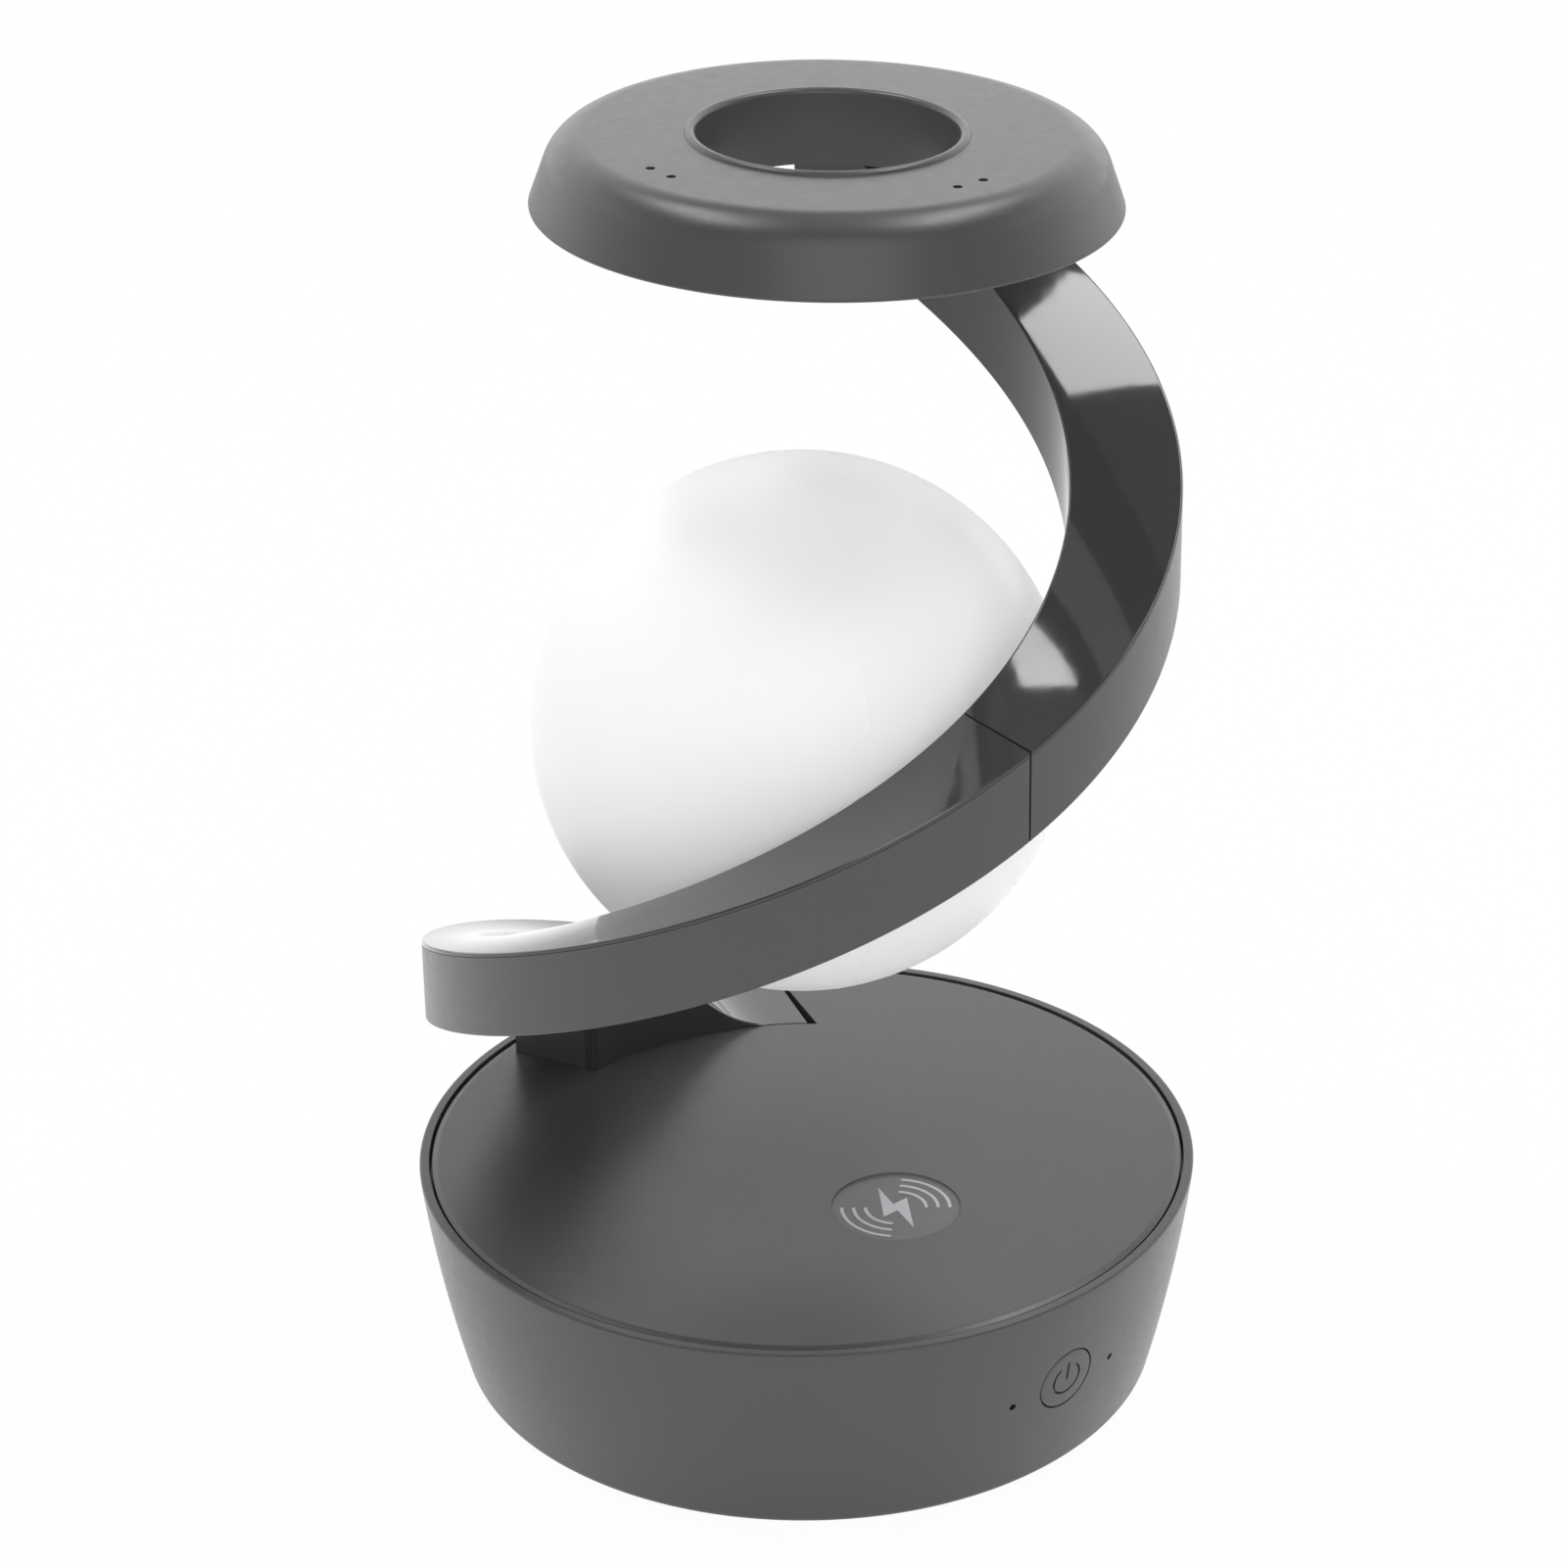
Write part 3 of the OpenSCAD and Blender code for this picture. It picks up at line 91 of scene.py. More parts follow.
def size(name, millimetres, description):
    """A length that a user may change, given here in millimetres."""
    return FloatProperty(name=name, description=description, default=millimetres * MM, unit="LENGTH")


def number(name, value, description):
    """A plain number that a user may change."""
    return FloatProperty(name=name, description=description, default=value)


def tilt(name, turn, description):
    """An angle that a user may change, given here in radians."""
    return FloatProperty(name=name, description=description, default=turn, unit="ROTATION")


def angle(name, turn, description):
    """An angle that a user may change, given here in degrees."""
    return tilt(name, radians(turn), description)


def colour(name, code, description):
    """A colour that a user may change."""
    return FloatVectorProperty(name=name, description=description, default=linear(code),
                               subtype="COLOR", min=0, max=1)


def box_centre(node):
    """The middle of a CAD node's box."""
    low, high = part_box(node)
    return (low + high) / 2


def box_size(node):
    """The size of a CAD node's box."""
    low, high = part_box(node)
    return high - low


class BaseSizes(bpy.types.PropertyGroup):
    """Drum, deck, button and inlet."""
    radius: size("Radius", 65, "Radius of the drum at its rim")
    deck: size("Deck height", 37, "Height of the deck above the table")
    draft: number("Draft", 0.114, "Lean of the wall as a ratio of its height")
    bow: size("Bow radius", 250, "Radius of the wall's slow bow")
    wall: size("Wall", 2.5, "Thickness of the wall")
    gap: size("Foot gap", 1.1, "Gap that the feet leave under the drum")
    lower_edge: size("Lower edge", 1.4, "Rounding at the lower edge")
    rim_edge: size("Rim edge", 0.35, "Rounding at the rim")
    rim: size("Rim width", 1.65, "Width of the rim round the deck")
    groove: size("Groove", 0.45, "Width of the groove round the deck")
    plate: size("Deck plate", 2.6, "Thickness of the deck plate")
    bevel: size("Bevel width", 0.9, "Width of the deck plate's bevel")
    bevel_fall: size("Bevel fall", 0.35, "Fall of the deck plate's bevel")
    shelf: size("Shelf", 6.4, "Width of the shelf that carries the plate")
    shelf_thick: size("Shelf thickness", 2.4, "Thickness of that shelf")
    button: size("Button", 10.9, "Diameter of the power button")
    button_edge: size("Button edge", 0.34, "Rounding of the power button's edge")
    flange: size("Flange", 1.1, "Thickness of the button's flange")
    flange_back: size("Flange back", 57.4, "Distance of the flange's back from the drum's axis")
    symbol: size("Symbol", 5.6, "Diameter of the power symbol")
    symbol_gap: number("Symbol gap", 34, "Half turn of the power ring's opening, in degrees")
    stroke: size("Stroke", 0.4, "Width of the symbol's lines")
    depth: size("Depth", 0.45, "Depth of the symbol's lines")
    button_gap: size("Button gap", 0.15, "Gap that shows round the power button")
    button_flare: size("Button flare", 0.12, "Rounding of the wall's edge round the button")
    light_turn: angle("Light turn", 10.05, "Turn from the button to each indicator light")
    pinhole: size("Pinhole", 1.1, "Diameter of an indicator's hole")
    fit: size("Fit", 0.1, "Clearance between pieces")


class ArmSizes(bpy.types.PropertyGroup):
    """The helical arm. Azimuths are in degrees round the drum's axis, written as plain numbers."""
    start: number("Start", 43.3, "Azimuth where the climb starts")
    ramp: number("Ramp", 47.9, "Azimuth of the ramp's tip")
    ramp_rise: number("Ramp rise", 54.7, "Azimuth where the ramp leaves the deck's level")
    ramp_full: number("Ramp full", 89.8, "Azimuth where the ramp meets the climb")
    flat: number("Flat", 58.7, "Azimuth where the foot starts to widen")
    foot: number("Foot", 103.3, "Azimuth of the foot's end face")
    side: number("Side", 138.7, "Azimuth where the arm is widest")
    neck: number("Neck", 243.7, "Azimuth of the globe's neck")
    parting: number("Parting", 262.65, "Azimuth of the parting line")
    screws: number("Screws", 5, "Turn from the parting to its screws")
    screw_head: size("Screw head", 2.2, "Radius of a screw head's seat")
    head_deep: size("Head depth", 1.3, "Depth of a screw head's seat")
    screw_shank: size("Screw shank", 1.2, "Radius of a screw's hole")
    screw_deep: size("Screw depth", 7.4, "Depth of a screw's hole")
    channel: size("Channel", 4.2, "Width of the cable channel")
    bracket: number("Bracket", 393, "Azimuth of the bracket's screws")
    contact: number("Contact", 396.9, "Azimuth where ring meets arm")
    stem: number("Stem", 402.8, "Azimuth of the ring's stem")
    end: number("End", 408.4, "Azimuth of the arm's end")
    rise: size("Rise", 149, "Height climbed in the first full turn")
    lift: size("Lift", 15.8, "Extra height gained by steepening")
    in_foot: size("Inner radius at foot", 41.8, "Inner radius at the foot")
    in_side: size("Inner radius at side", 46.8, "Inner radius at the widest place")
    in_end: size("Inner radius at end", 39.2, "Inner radius at the end")
    w_foot: size("Width at foot", 14.7, "Width at the foot")
    w_end: size("Width at end", 18.7, "Width at the end")
    h_foot: size("Height at foot", 14.1, "Height of the section at the foot")
    h_end: size("Height at end", 15.8, "Height of the section at the end")
    cover: size("Cover", 1.7, "Thickness of the glossy cover")
    wall: size("Wall", 2.3, "Thickness of the satin body")
    lip: size("Lip", 0.65, "Thickness of the cover's lip")
    edge: size("Edge", 0.35, "Rounding of the arm's top edges")
    soft: size("Lower edge", 0.4, "Rounding of the arm's lower edges")
    corner: size("Foot corner", 1.1, "Rounding of the foot's inner corner")
    gap: size("Parting gap", 0.3, "Width of the parting gap")
    slot: size("Slot", 1.65, "Gap between the ramp's tip and the deck, at its inner end")
    slot_out: size("Slot's outer end", 1.05, "The same gap at its outer end")
    ramp_skew: number("Ramp skew", 5.3, "Skew of the ramp's tip")
    foot_skew: number("Foot skew", 2.3, "Skew of the foot's end")
    skew_run: number("Skew run", 25, "Turn over which skew fades")
    fall_power: number("Fall", 1.345, "Power of the inward spiral")
    step: number("Step", 0.75, "Turn between two stations")


class RingSizes(bpy.types.PropertyGroup):
    """The flat ring head."""
    radius: size("Radius", 46.4, "Outer radius at the underside")
    hole: size("Hole", 19.5, "Radius of the hole at the underside")
    height: size("Height", 11.4, "Height to the flat top")
    draft: number("Draft", 0.36, "Lean of the outer wall")
    round: size("Round", 7, "Rounding of the outer top edge")
    wall: size("Wall", 2, "Thickness of the shell")
    bead: size("Bead", 0.9, "Radius of the bead round the hole")
    lip: size("Lip", 0.9, "How much wider the hole is at the top")
    hem: size("Hem", 0.4, "Rounding of the lower edge")
    lean: angle("Lean", 1.2, "Lean of the ring from level")
    lean_to: number("Lean to", 318.7, "Azimuth that the ring leans to")
    stem: number("Stem", 48.9, "Azimuth of the stem round the ring")
    pinhole: size("Pinhole", 1.5, "Diameter of a hole in the top")
    pinhole_at: size("Pinhole place", 32.6, "Radius that the holes lie on")


class GlobeSizes(bpy.types.PropertyGroup):
    """The milky globe."""
    wall: size("Wall", 1.8, "Thickness of the globe")
    neck: size("Neck", 6.2, "Diameter of the neck's hole")
    neck_lift: size("Neck lift", 1.95, "Height of the neck above the globe's middle")
    seam: size("Seam", 0.05, "Height of the moulding seam")
    seam_width: size("Seam width", 0.3, "Width of the moulding seam")


class Finishes(bpy.types.PropertyGroup):
    """Colours of the pieces that show."""
    satin: colour("Satin shell", "#424243", "Colour of the satin moulded shells")
    gloss: colour("Gloss cover", "#3A3A3B", "Colour of the polished arm cover")
    globe: colour("Globe", "#E4E5E6", "Colour of the milky globe")
    mark: colour("Mark", "#DDDFE2", "Colour of the charging sign")


class Studio(bpy.types.PropertyGroup):
    """Camera and lights. The view is turned against the lamp's own frame."""
    turn: angle("View turn", 41.3, "Turn of the lamp against the view")
    distance: size("Distance", 651.74, "Level distance from the drum's axis to the camera")
    height: size("Height", 382.82, "Height of the camera over the deck")
    pitch: tilt("Pitch", 0.4508, "Downward tilt of the camera")
    roll: tilt("Roll", -0.0151, "Roll of the camera")
    yaw: tilt("Yaw", -0.0043, "Yaw of the camera")
    focal: FloatProperty(name="Focal length", description="Lens of the camera", default=102.72,
                         unit="CAMERA")
    sensor: FloatProperty(name="Sensor", description="Width of the camera's sensor", default=36,
                          unit="CAMERA")
    clip_near: size("Near clip", 50, "Nearest distance that the camera shows")
    clip_far: size("Far clip", 20000, "Farthest distance that the camera shows")
    aim: size("Aim", 110, "Height that the lights point at")
    floor: size("Floor", 2500, "Radius of the floor")
    sheet: size("Sheet", 2, "Thickness of the floor")
    floor_white: number("Floor's own white", 0.97, "Share of plain white in the floor as it is seen")
    floor_seen: number("Mirrored floor", 0.5, "Share of plain white in the floor's reflections")
    near: size("Near floor", 300, "Radius round the lamp with the near floor's light")
    far: size("Far floor", 600, "Radius where the far floor's light begins")
    near_light: number("Near light", 1.65, "Light of the near floor on the lamp")
    far_light: number("Far light", 1.1, "Light of the far floor on the lamp")
    room: number("Room", 0.56, "Light of the plain room on the lamp")
    sweep_foot: number("Sweep's foot", 0.56, "Sine of the height where the white sweep starts to end")
    sweep_head: number("Sweep's head", 0.62, "Sine of the height where the white sweep ends")
    sweep: number("Sweep", 1.65, "Reflected light of the white sweep")
    ceiling: number("Ceiling", 0.25, "Reflected light of the ceiling")
    front_from: number("Front", -0.35, "Cosine to the view's way where the room's front ends")
    front_to: number("Back", 0.45, "Cosine to the view's way where the room's back begins")
    front: number("Front's share", 0.3, "Share of light that the room's front reflects")
    segments: IntProperty(name="Segments", description="Sides of a turned surface", default=288)


def settings():
    """All the lamp's settings."""
    return bpy.context.scene.lamp


def polar(radius, azimuth, height=0.0):
    """A point by radius, azimuth in degrees and height."""
    return Vector((radius * cos(radians(azimuth)), radius * sin(radians(azimuth)), height))


def spread(first, last, count):
    """Evenly spread numbers, both ends included."""
    return [first + (last - first) * i / count for i in range(count + 1)]


def stops(first, last, step):
    """Numbers no further apart than a step, both ends included."""
    return spread(first, last, max(1, ceil((last - first) / step - 1e-6)))


def make_mesh(name, points, faces):
    """A mesh object from points and faces, with doubled points merged and faces turned outward."""
    mesh = bpy.data.meshes.new(name)
    mesh.from_pydata([tuple(p) for p in points], [], faces)
    work = bmesh.new()
    work.from_mesh(mesh)
    bmesh.ops.remove_doubles(work, verts=work.verts, dist=2e-7)
    bmesh.ops.dissolve_degenerate(work, edges=work.edges, dist=1e-7)
    bmesh.ops.recalc_face_normals(work, faces=work.faces)
    work.to_mesh(mesh)
    work.free()
    piece = bpy.data.objects.new(name, mesh)
    bpy.context.scene.collection.objects.link(piece)
    return piece


def through(name, rings, closed=False):
    """A solid through rings of points that all have the same count."""
    count, sides = len(rings), len(rings[0])
    faces = []
    for k in range(count if closed else count - 1):
        for i in range(sides):
            j, after = (i + 1) % sides, (k + 1) % count
            faces.append((k * sides + i, k * sides + j, after * sides + j, after * sides + i))
    if not closed:
        faces.append(tuple(reversed(range(sides))))
        faces.append(tuple((count - 1) * sides + i for i in range(sides)))
    return make_mesh(name, [p for ring in rings for p in ring], faces)


def turned(name, outline, place=Matrix(), sides=None):
    """A solid of revolution: its outline holds radius and height pairs, its axis is Z of the place."""
    sides = sides or settings().studio.segments
    rings = [[place @ polar(r, 360 * k / sides, z) for r, z in outline] for k in range(sides)]
    return through(name, rings, closed=True)


def filleted(corners, steps=6):
    """An outline of radius, height and rounding triples, with its corners rounded."""
    outline = []
    for i, (x, z, rounding) in enumerate(corners):
        here = Vector((x, z))
        if rounding == 0:
            outline.append((x, z))
            continue
        before = (Vector(corners[i - 1][:2]) - here).normalized()
        after = (Vector(corners[(i + 1) % len(corners)][:2]) - here).normalized()
        half = acos(max(-1, min(1, before.dot(after)))) / 2
        middle = here + (before + after).normalized() * (rounding / sin(half))
        first = here + before * (rounding / tan(half)) - middle
        turn = pi - 2 * half
        sign = 1 if first.x * (here - middle).y - first.y * (here - middle).x > 0 else -1
        arc = [(middle.x + first.x * cos(t) - first.y * sin(t),
                middle.y + first.x * sin(t) + first.y * cos(t)) for t in spread(0, sign * turn, steps)]
        # One point past each end of the arc keeps the shading of the flats beside it flat
        past = rounding * (1 / tan(half) + 0.3)
        outline += [tuple(here + before * past)] + arc + [tuple(here + after * past)]
    return outline


def rod(name, radius, start, end, place, sides=64):
    """A straight cutter along Z of the place."""
    return turned(name, [(0, start), (radius, start), (radius, end), (0, end)], place, sides)


def cut(piece, cutters):
    """Cuts pieces out of a piece and removes them."""
    for cutter in cutters:
        step = piece.modifiers.new("cut", "BOOLEAN")
        step.operation = "DIFFERENCE"
        step.solver = "EXACT"
        step.object = cutter
    view = bpy.context.evaluated_depsgraph_get()
    whole = bpy.data.meshes.new_from_object(piece.evaluated_get(view))
    piece.modifiers.clear()
    piece.data = whole
    for cutter in cutters:
        bpy.data.objects.remove(cutter)


def dress(piece, node, material, crease=32):
    """Shades a piece smoothly, gives it its material and puts it in a CAD node's stead."""
    piece.data.materials.clear()
    piece.data.materials.append(material)
    piece.data.shade_smooth()
    piece.data.set_sharp_from_angle(angle=radians(crease))
    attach(piece, NODES[node]["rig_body"])
    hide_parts(node)
    return piece


def finish_nodes(material, *names):
    """Gives CAD nodes that keep their own shape a material."""
    for name in names:
        mesh = NODES[name].data
        mesh.materials.clear()
        mesh.materials.append(material)
        mesh.shade_smooth()
        mesh.set_sharp_from_angle(angle=radians(32))


def add(tree, kind, inputs=None, **properties):
    """Adds a shader node, sets its properties and sets or links its inputs."""
    node = tree.nodes.new(kind)
    for name, value in properties.items():
        setattr(node, name, value)
    for name, value in (inputs or {}).items():
        if isinstance(value, bpy.types.NodeSocket):
            tree.links.new(value, node.inputs[name])
        else:
            node.inputs[name].default_value = value
    return node


def new_material(name):
    """An empty material with its output and the object's own coordinates."""
    material = bpy.data.materials.new(name)
    material.use_nodes = True
    tree = material.node_tree
    tree.nodes.clear()
    output = add(tree, "ShaderNodeOutputMaterial")
    place = add(tree, "ShaderNodeTexCoord").outputs["Object"]
    return material, tree, output, place


def per_mm(size_mm):
    """Texture scale at which a pattern repeats once in so many millimetres."""
    return 1 / (size_mm * MM)


def mottled(tree, place, rgb, amount, size_mm):
    """A colour that drifts a little lighter and darker over a real distance."""
    noise = add(tree, "ShaderNodeTexNoise", {"Vector": place, "Scale": per_mm(size_mm), "Detail": 3.0})
    return add(tree, "ShaderNodeMix", {
        "Factor": noise.outputs["Fac"],
        "A": tuple(c * (1 - amount) for c in rgb) + (1,),
        "B": tuple(c * (1 + amount) for c in rgb) + (1,),
    }, data_type="RGBA").outputs["Result"]


def ranged(tree, value, start, end, first, last):
    """A value that goes from first to last while another goes from start to end."""
    return add(tree, "ShaderNodeMapRange", {
        "Value": value, "From Min": start, "From Max": end, "To Min": first, "To Max": last,
    }).outputs["Result"]


def drifting(tree, place, low, high, size_mm):
    """A number that drifts between two values over a real distance."""
    noise = add(tree, "ShaderNodeTexNoise", {"Vector": place, "Scale": per_mm(size_mm), "Detail": 4.0})
    return ranged(tree, noise.outputs["Fac"], 0.3, 0.7, low, high)


def worked(tree, operation, first, second):
    """Two values put together."""
    return add(tree, "ShaderNodeMath", {0: first, 1: second}, operation=operation).outputs[0]


def chosen(tree, factor, off, on):
    """One value where a factor is 0 and another where it is 1."""
    return add(tree, "ShaderNodeMix", {"Factor": factor, "A": off, "B": on},
               data_type="FLOAT").outputs["Result"]


def ray_kinds(tree):
    """Whether a ray comes from the camera, and whether from a mirroring or clear surface."""
    path = add(tree, "ShaderNodeLightPath").outputs
    return path["Is Camera Ray"], worked(tree, "MAXIMUM", path["Is Glossy Ray"],
                                         path["Is Transmission Ray"])


def bumped(tree, height, depth_mm, strength, under=None):
    """A normal raised by a height pattern of a real depth."""
    inputs = {"Height": height, "Distance": depth_mm * MM, "Strength": strength}
    if under is not None:
        inputs["Normal"] = under
    return add(tree, "ShaderNodeBump", inputs).outputs["Normal"]


def grain(tree, place, size_mm, detail):
    """A fine even grain."""
    return add(tree, "ShaderNodeTexNoise", {
        "Vector": place, "Scale": per_mm(size_mm), "Detail": detail, "Roughness": 0.6,
    }).outputs["Fac"]


def finished(material, tree, output, inputs):
    """Gives a material its one shader."""
    shader = add(tree, "ShaderNodeBsdfPrincipled", inputs)
    tree.links.new(shader.outputs["BSDF"], output.inputs["Surface"])
    return material


# Finishes made so far
made = {}


def once(maker, *words):
    """The finish that a maker makes, made only the first time."""
    key = (maker.__name__,) + words
    if key not in made:
        made[key] = maker(*words)
    return made[key]


def one_shader(name, rgb, tone, rough, bump, more, coarse=None):
    """A finish of one shader. Tone is a drift and its size, rough two ends and their size, and bump a
    grain's size, detail, depth and strength. Coarse is a second bump under it; more are settings."""
    material, tree, output, place = new_material(name)
    inputs = {"Base Color": mottled(tree, place, rgb, *tone),
              "Roughness": drifting(tree, place, *rough), **more}
    under = None
    for size_mm, detail, depth_mm, strength in filter(None, (coarse, bump)):
        under = bumped(tree, grain(tree, place, size_mm, detail), depth_mm, strength, under)
        inputs["Normal"] = under
    return finished(material, tree, output, inputs)


def satin_abs():
    # Charcoal ABS from a mould with a spark-eroded face: an even satin bloom that goes soft and
    # grey at a slant. The real grain is about 0.1 mm and is drawn at 0.45 mm so that it shows.
    return one_shader("satin moulded ABS", settings().finish.satin, (0.02, 9), (0.32, 0.37, 2.2),
                      (0.45, 2, 0.005, 0.3), {"IOR": 1.53, "Specular IOR Level": 0.5})


def gloss_abs():
    # The same ABS from a polished mould: deep charcoal with clear reflections that ripple over the
    # slight sinks of a long moulding, 7 mm and more apart.
    return one_shader("polished moulded ABS", settings().finish.gloss, (0.03, 11), (0.05, 0.08, 3),
                      (1.1, 1, 0.0015, 0.4), {"IOR": 1.53, "Specular IOR Level": 0.5},
                      (7, 1.5, 0.02, 0.4))


def black_abs():
    # Plain dark ABS of the parts that face the table or sit inside: matt, with a fine grain.
    return one_shader("matt moulded ABS", linear("#262627"), (0.06, 7), (0.52, 0.64, 3),
                      (0.6, 2, 0.02, 0.5), {"IOR": 1.53})


def rubber():
    # Moulded rubber: nearly black, dull, with a fine orange-peel skin and pale dust in it.
    return one_shader("moulded rubber", linear("#1B1B1B"), (0.2, 1.6), (0.72, 0.86, 1.2),
                      (0.5, 3, 0.03, 0.6), {"IOR": 1.52})


def milky_plastic():
    # Opal polyethylene, blown in a sand-blasted mould: light sinks in and comes back cool white, so the
    # shading is soft, and a faint painted glow lifts its shaded side. Faint clouds follow the wall's
    # thickness.
    rgb = settings().finish.globe
    return one_shader("opal blow-moulded plastic", rgb, (0.012, 26), (0.42, 0.5, 6),
                      (0.5, 2, 0.006, 0.3), {
                          "IOR": 1.5, "Subsurface Weight": 1.0, "Subsurface Radius": (1.0, 1.0, 1.0),
                          "Subsurface Scale": 10 * MM, "Specular IOR Level": 0.35,
                          # Painted glow: a faint emission in the globe's own colour that brightens its
                          # shaded side
                          "Emission Color": tuple(rgb) + (1,), "Emission Strength": 0.25})


def opal_sheet():
    # Opal acrylic of the ring's light window: smooth, milky, a little glossy.
    return one_shader("opal acrylic", linear("#E9EBEC"), (0.015, 8), (0.3, 0.4, 4),
                      (0.7, 2, 0.01, 0.3), {
                          "IOR": 1.49, "Subsurface Weight": 0.2,
                          "Subsurface Radius": (1.0, 1.0, 1.0), "Subsurface Scale": 2 * MM})


def clear_sheet():
    # Clear hard-coated acrylic: a thin glossy film over the sign beneath.
    return one_shader("clear coated acrylic", linear("#A4A5A7"), (0.03, 5), (0.1, 0.2, 2.5),
                      (5, 2, 0.01, 0.3), {"IOR": 1.49, "Alpha": 0.14})


def pinhole_shade_pipe():
    # Light pipes: their near-black colour is painted shade of the pinholes they fill, under a little
    # gloss.
    return one_shader("light pipe in painted pinhole shade", linear("#0A0A0B"), (0.1, 1), (0.25, 0.4, 0.6),
                      None, {"IOR": 1.58, "Specular IOR Level": 0.1})


def silver_print():
    # Silver screen ink: pale, hardly metallic, with the fine speckle of its flakes.
    return one_shader("silver screen ink", settings().finish.mark, (0.06, 0.25), (0.4, 0.6, 0.4),
                      (0.3, 2, 0.01, 0.4), {"Metallic": 0.1})


def cast_plate():
    # Cast iron, tumbled and oiled: dark, dull, with its scale in patches.
    return one_shader("cast iron plate", linear("#4A4B4E"), (0.25, 4), (0.45, 0.65, 2),
                      (0.8, 4, 0.03, 0.6), {"Metallic": 0.8})


def plain_moulding(name, code, rough, grain_mm):
    """A plain moulded or potted part of the insides, with its own grain."""
    return one_shader(name, linear(code), (0.08, grain_mm * 5),
                      (rough - 0.06, rough + 0.08, grain_mm * 3), (grain_mm, 2, 0.02, 0.4),
                      {"IOR": 1.5})


def metal(name, code, rough, line_mm, direction):
    """A plated or machined metal with fine tool lines a real distance apart."""
    material, tree, output, place = new_material(name)
    lines = add(tree, "ShaderNodeTexWave", {
        "Vector": place, "Scale": per_mm(line_mm) / 20, "Distortion": 1.5, "Detail": 2.0,
    }, wave_type="BANDS", bands_direction=direction)
    return finished(material, tree, output, {
        "Base Color": mottled(tree, place, linear(code), 0.05, 2), "Metallic": 1.0,
        "Roughness": drifting(tree, place, rough - 0.06, rough + 0.08, 0.8),
        "Normal": bumped(tree, lines.outputs["Fac"], 0.01, 0.4),
    })


def wound_copper():
    # Enamelled litz wire wound flat: copper rings 0.8 mm apart under clear enamel.
    material, tree, output, place = new_material("enamelled copper winding")
    middle = box_centre("charging_coil")
    moved = add(tree, "ShaderNodeMapping", {"Vector": place, "Location": tuple(-c for c in middle)})
    turns = add(tree, "ShaderNodeTexWave", {
        "Vector": moved.outputs["Vector"], "Scale": per_mm(0.8) / 20,
    }, wave_type="RINGS", rings_direction="Z")
    return finished(material, tree, output, {
        "Base Color": mottled(tree, place, linear("#A85A35"), 0.15, 0.8), "Metallic": 0.9,
        "Roughness": drifting(tree, place, 0.28, 0.4, 0.7), "Coat Weight": 0.4,
        "Normal": bumped(tree, turns.outputs["Fac"], 0.15, 0.8),
    })


def circuit_board(name, code):
    """Lacquered glass-epoxy board: solder mask over 2 mm cells of copper tracks."""
    material, tree, output, place = new_material(name)
    tracks = add(tree, "ShaderNodeTexBrick", {
        "Vector": place, "Scale": per_mm(4), "Color1": (1, 1, 1, 1), "Color2": (0.8, 0.8, 0.8, 1),
        "Mortar": (0, 0, 0, 1), "Mortar Size": 0.06,
    })
    base = linear(code)
    tone = add(tree, "ShaderNodeMix", {
        "Factor": tracks.outputs["Fac"], "A": base + (1,), "B": tuple(c * 0.6 for c in base) + (1,),
    }, data_type="RGBA")
    return finished(material, tree, output, {
        "Base Color": tone.outputs["Result"], "IOR": 1.5,
        "Roughness": drifting(tree, place, 0.22, 0.35, 1.5),
        "Normal": bumped(tree, tracks.outputs["Fac"], 0.03, 0.5),
    })


def wall_out(z):
    """Radius of the drum's wall at a height."""
    base = settings().base
    fall = base.deck - base.rim_edge - z
    return base.radius - base.draft * fall - fall * fall / (2 * base.bow)


def button_height():
    """Height of the button's centre, from its CAD node."""
    return box_centre("switch_plunger").z


def front(height):
    """A frame on the drum's axis at a height, its Z axis pointing out through the front."""
    return Matrix.Translation((0, 0, height)) @ Matrix.Rotation(pi / 2, 4, "X")


def drum_shell():
    """The bowed wall, rim, groove floor and shelf, with holes for button, lights and inlet."""
    base = settings().base
    foot, rim = base.gap, base.deck
    groove = base.radius - base.rim
    shelf = rim - base.plate
    under = shelf - base.shelf_thick
    lowest = foot + base.lower_edge * 2
    corners = [(wall_out(foot) - base.wall, foot, base.fit), (wall_out(foot), foot, base.lower_edge)]
    corners += [(wall_out(z), z, 0) for z in spread(lowest, rim - 3 * base.rim_edge, 24)]
    corners += [(base.radius, rim, base.rim_edge), (groove, rim, base.fit * 1.5),
                (groove, shelf, 0), (groove - base.shelf, shelf, 0), (groove - base.shelf, under, 0),
                (wall_out(under) - base.wall, under, 0)]
    corners += [(wall_out(z) - base.wall, z, 0) for z in spread(under, foot, 12)[1:-1]]
    shell = turned("drum_shell", filleted(corners))
    height = button_height()
    reach = base.radius + base.wall
    hole = base.button / 2 + base.button_gap
    holes = [rod("hole", hole, reach * 0.8, reach, front(height), 96), flare(hole, height)]
    light_height = box_centre("indicator_leds").z
    for side in (-1, 1):
        turn = Matrix.Rotation(side * base.light_turn, 4, "Z")
        holes.append(rod("hole", base.pinhole / 2 + base.fit / 2, reach * 0.8, reach,
                         turn @ front(light_height), 32))
    inlet, face = box_size("usb_socket"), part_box("usb_socket")[1].y
    holes.append(through("slot", [
        slot_outline(inlet.x + 2 * base.fit, inlet.z + 2 * base.fit,
                     Vector((0, y, box_centre("usb_socket").z))) for y in (face - 2 * base.wall, reach)
    ]))
    cut(shell, holes)
    return dress(shell, "base_shell", once(satin_abs))


def flare(hole, height):
    """Cutter that breaks the wall's edge round the button's hole."""
    base = settings().base
    steps = ((-base.button_gap, base.button_flare), (0, base.button_flare),
             (base.button_flare / 2, base.button_flare / 4), (base.button_flare, -base.fit),
             (-base.button_gap, -base.wall))
    return through("flare", [wall_ring(hole + wide, height, sink) for wide, sink in steps])


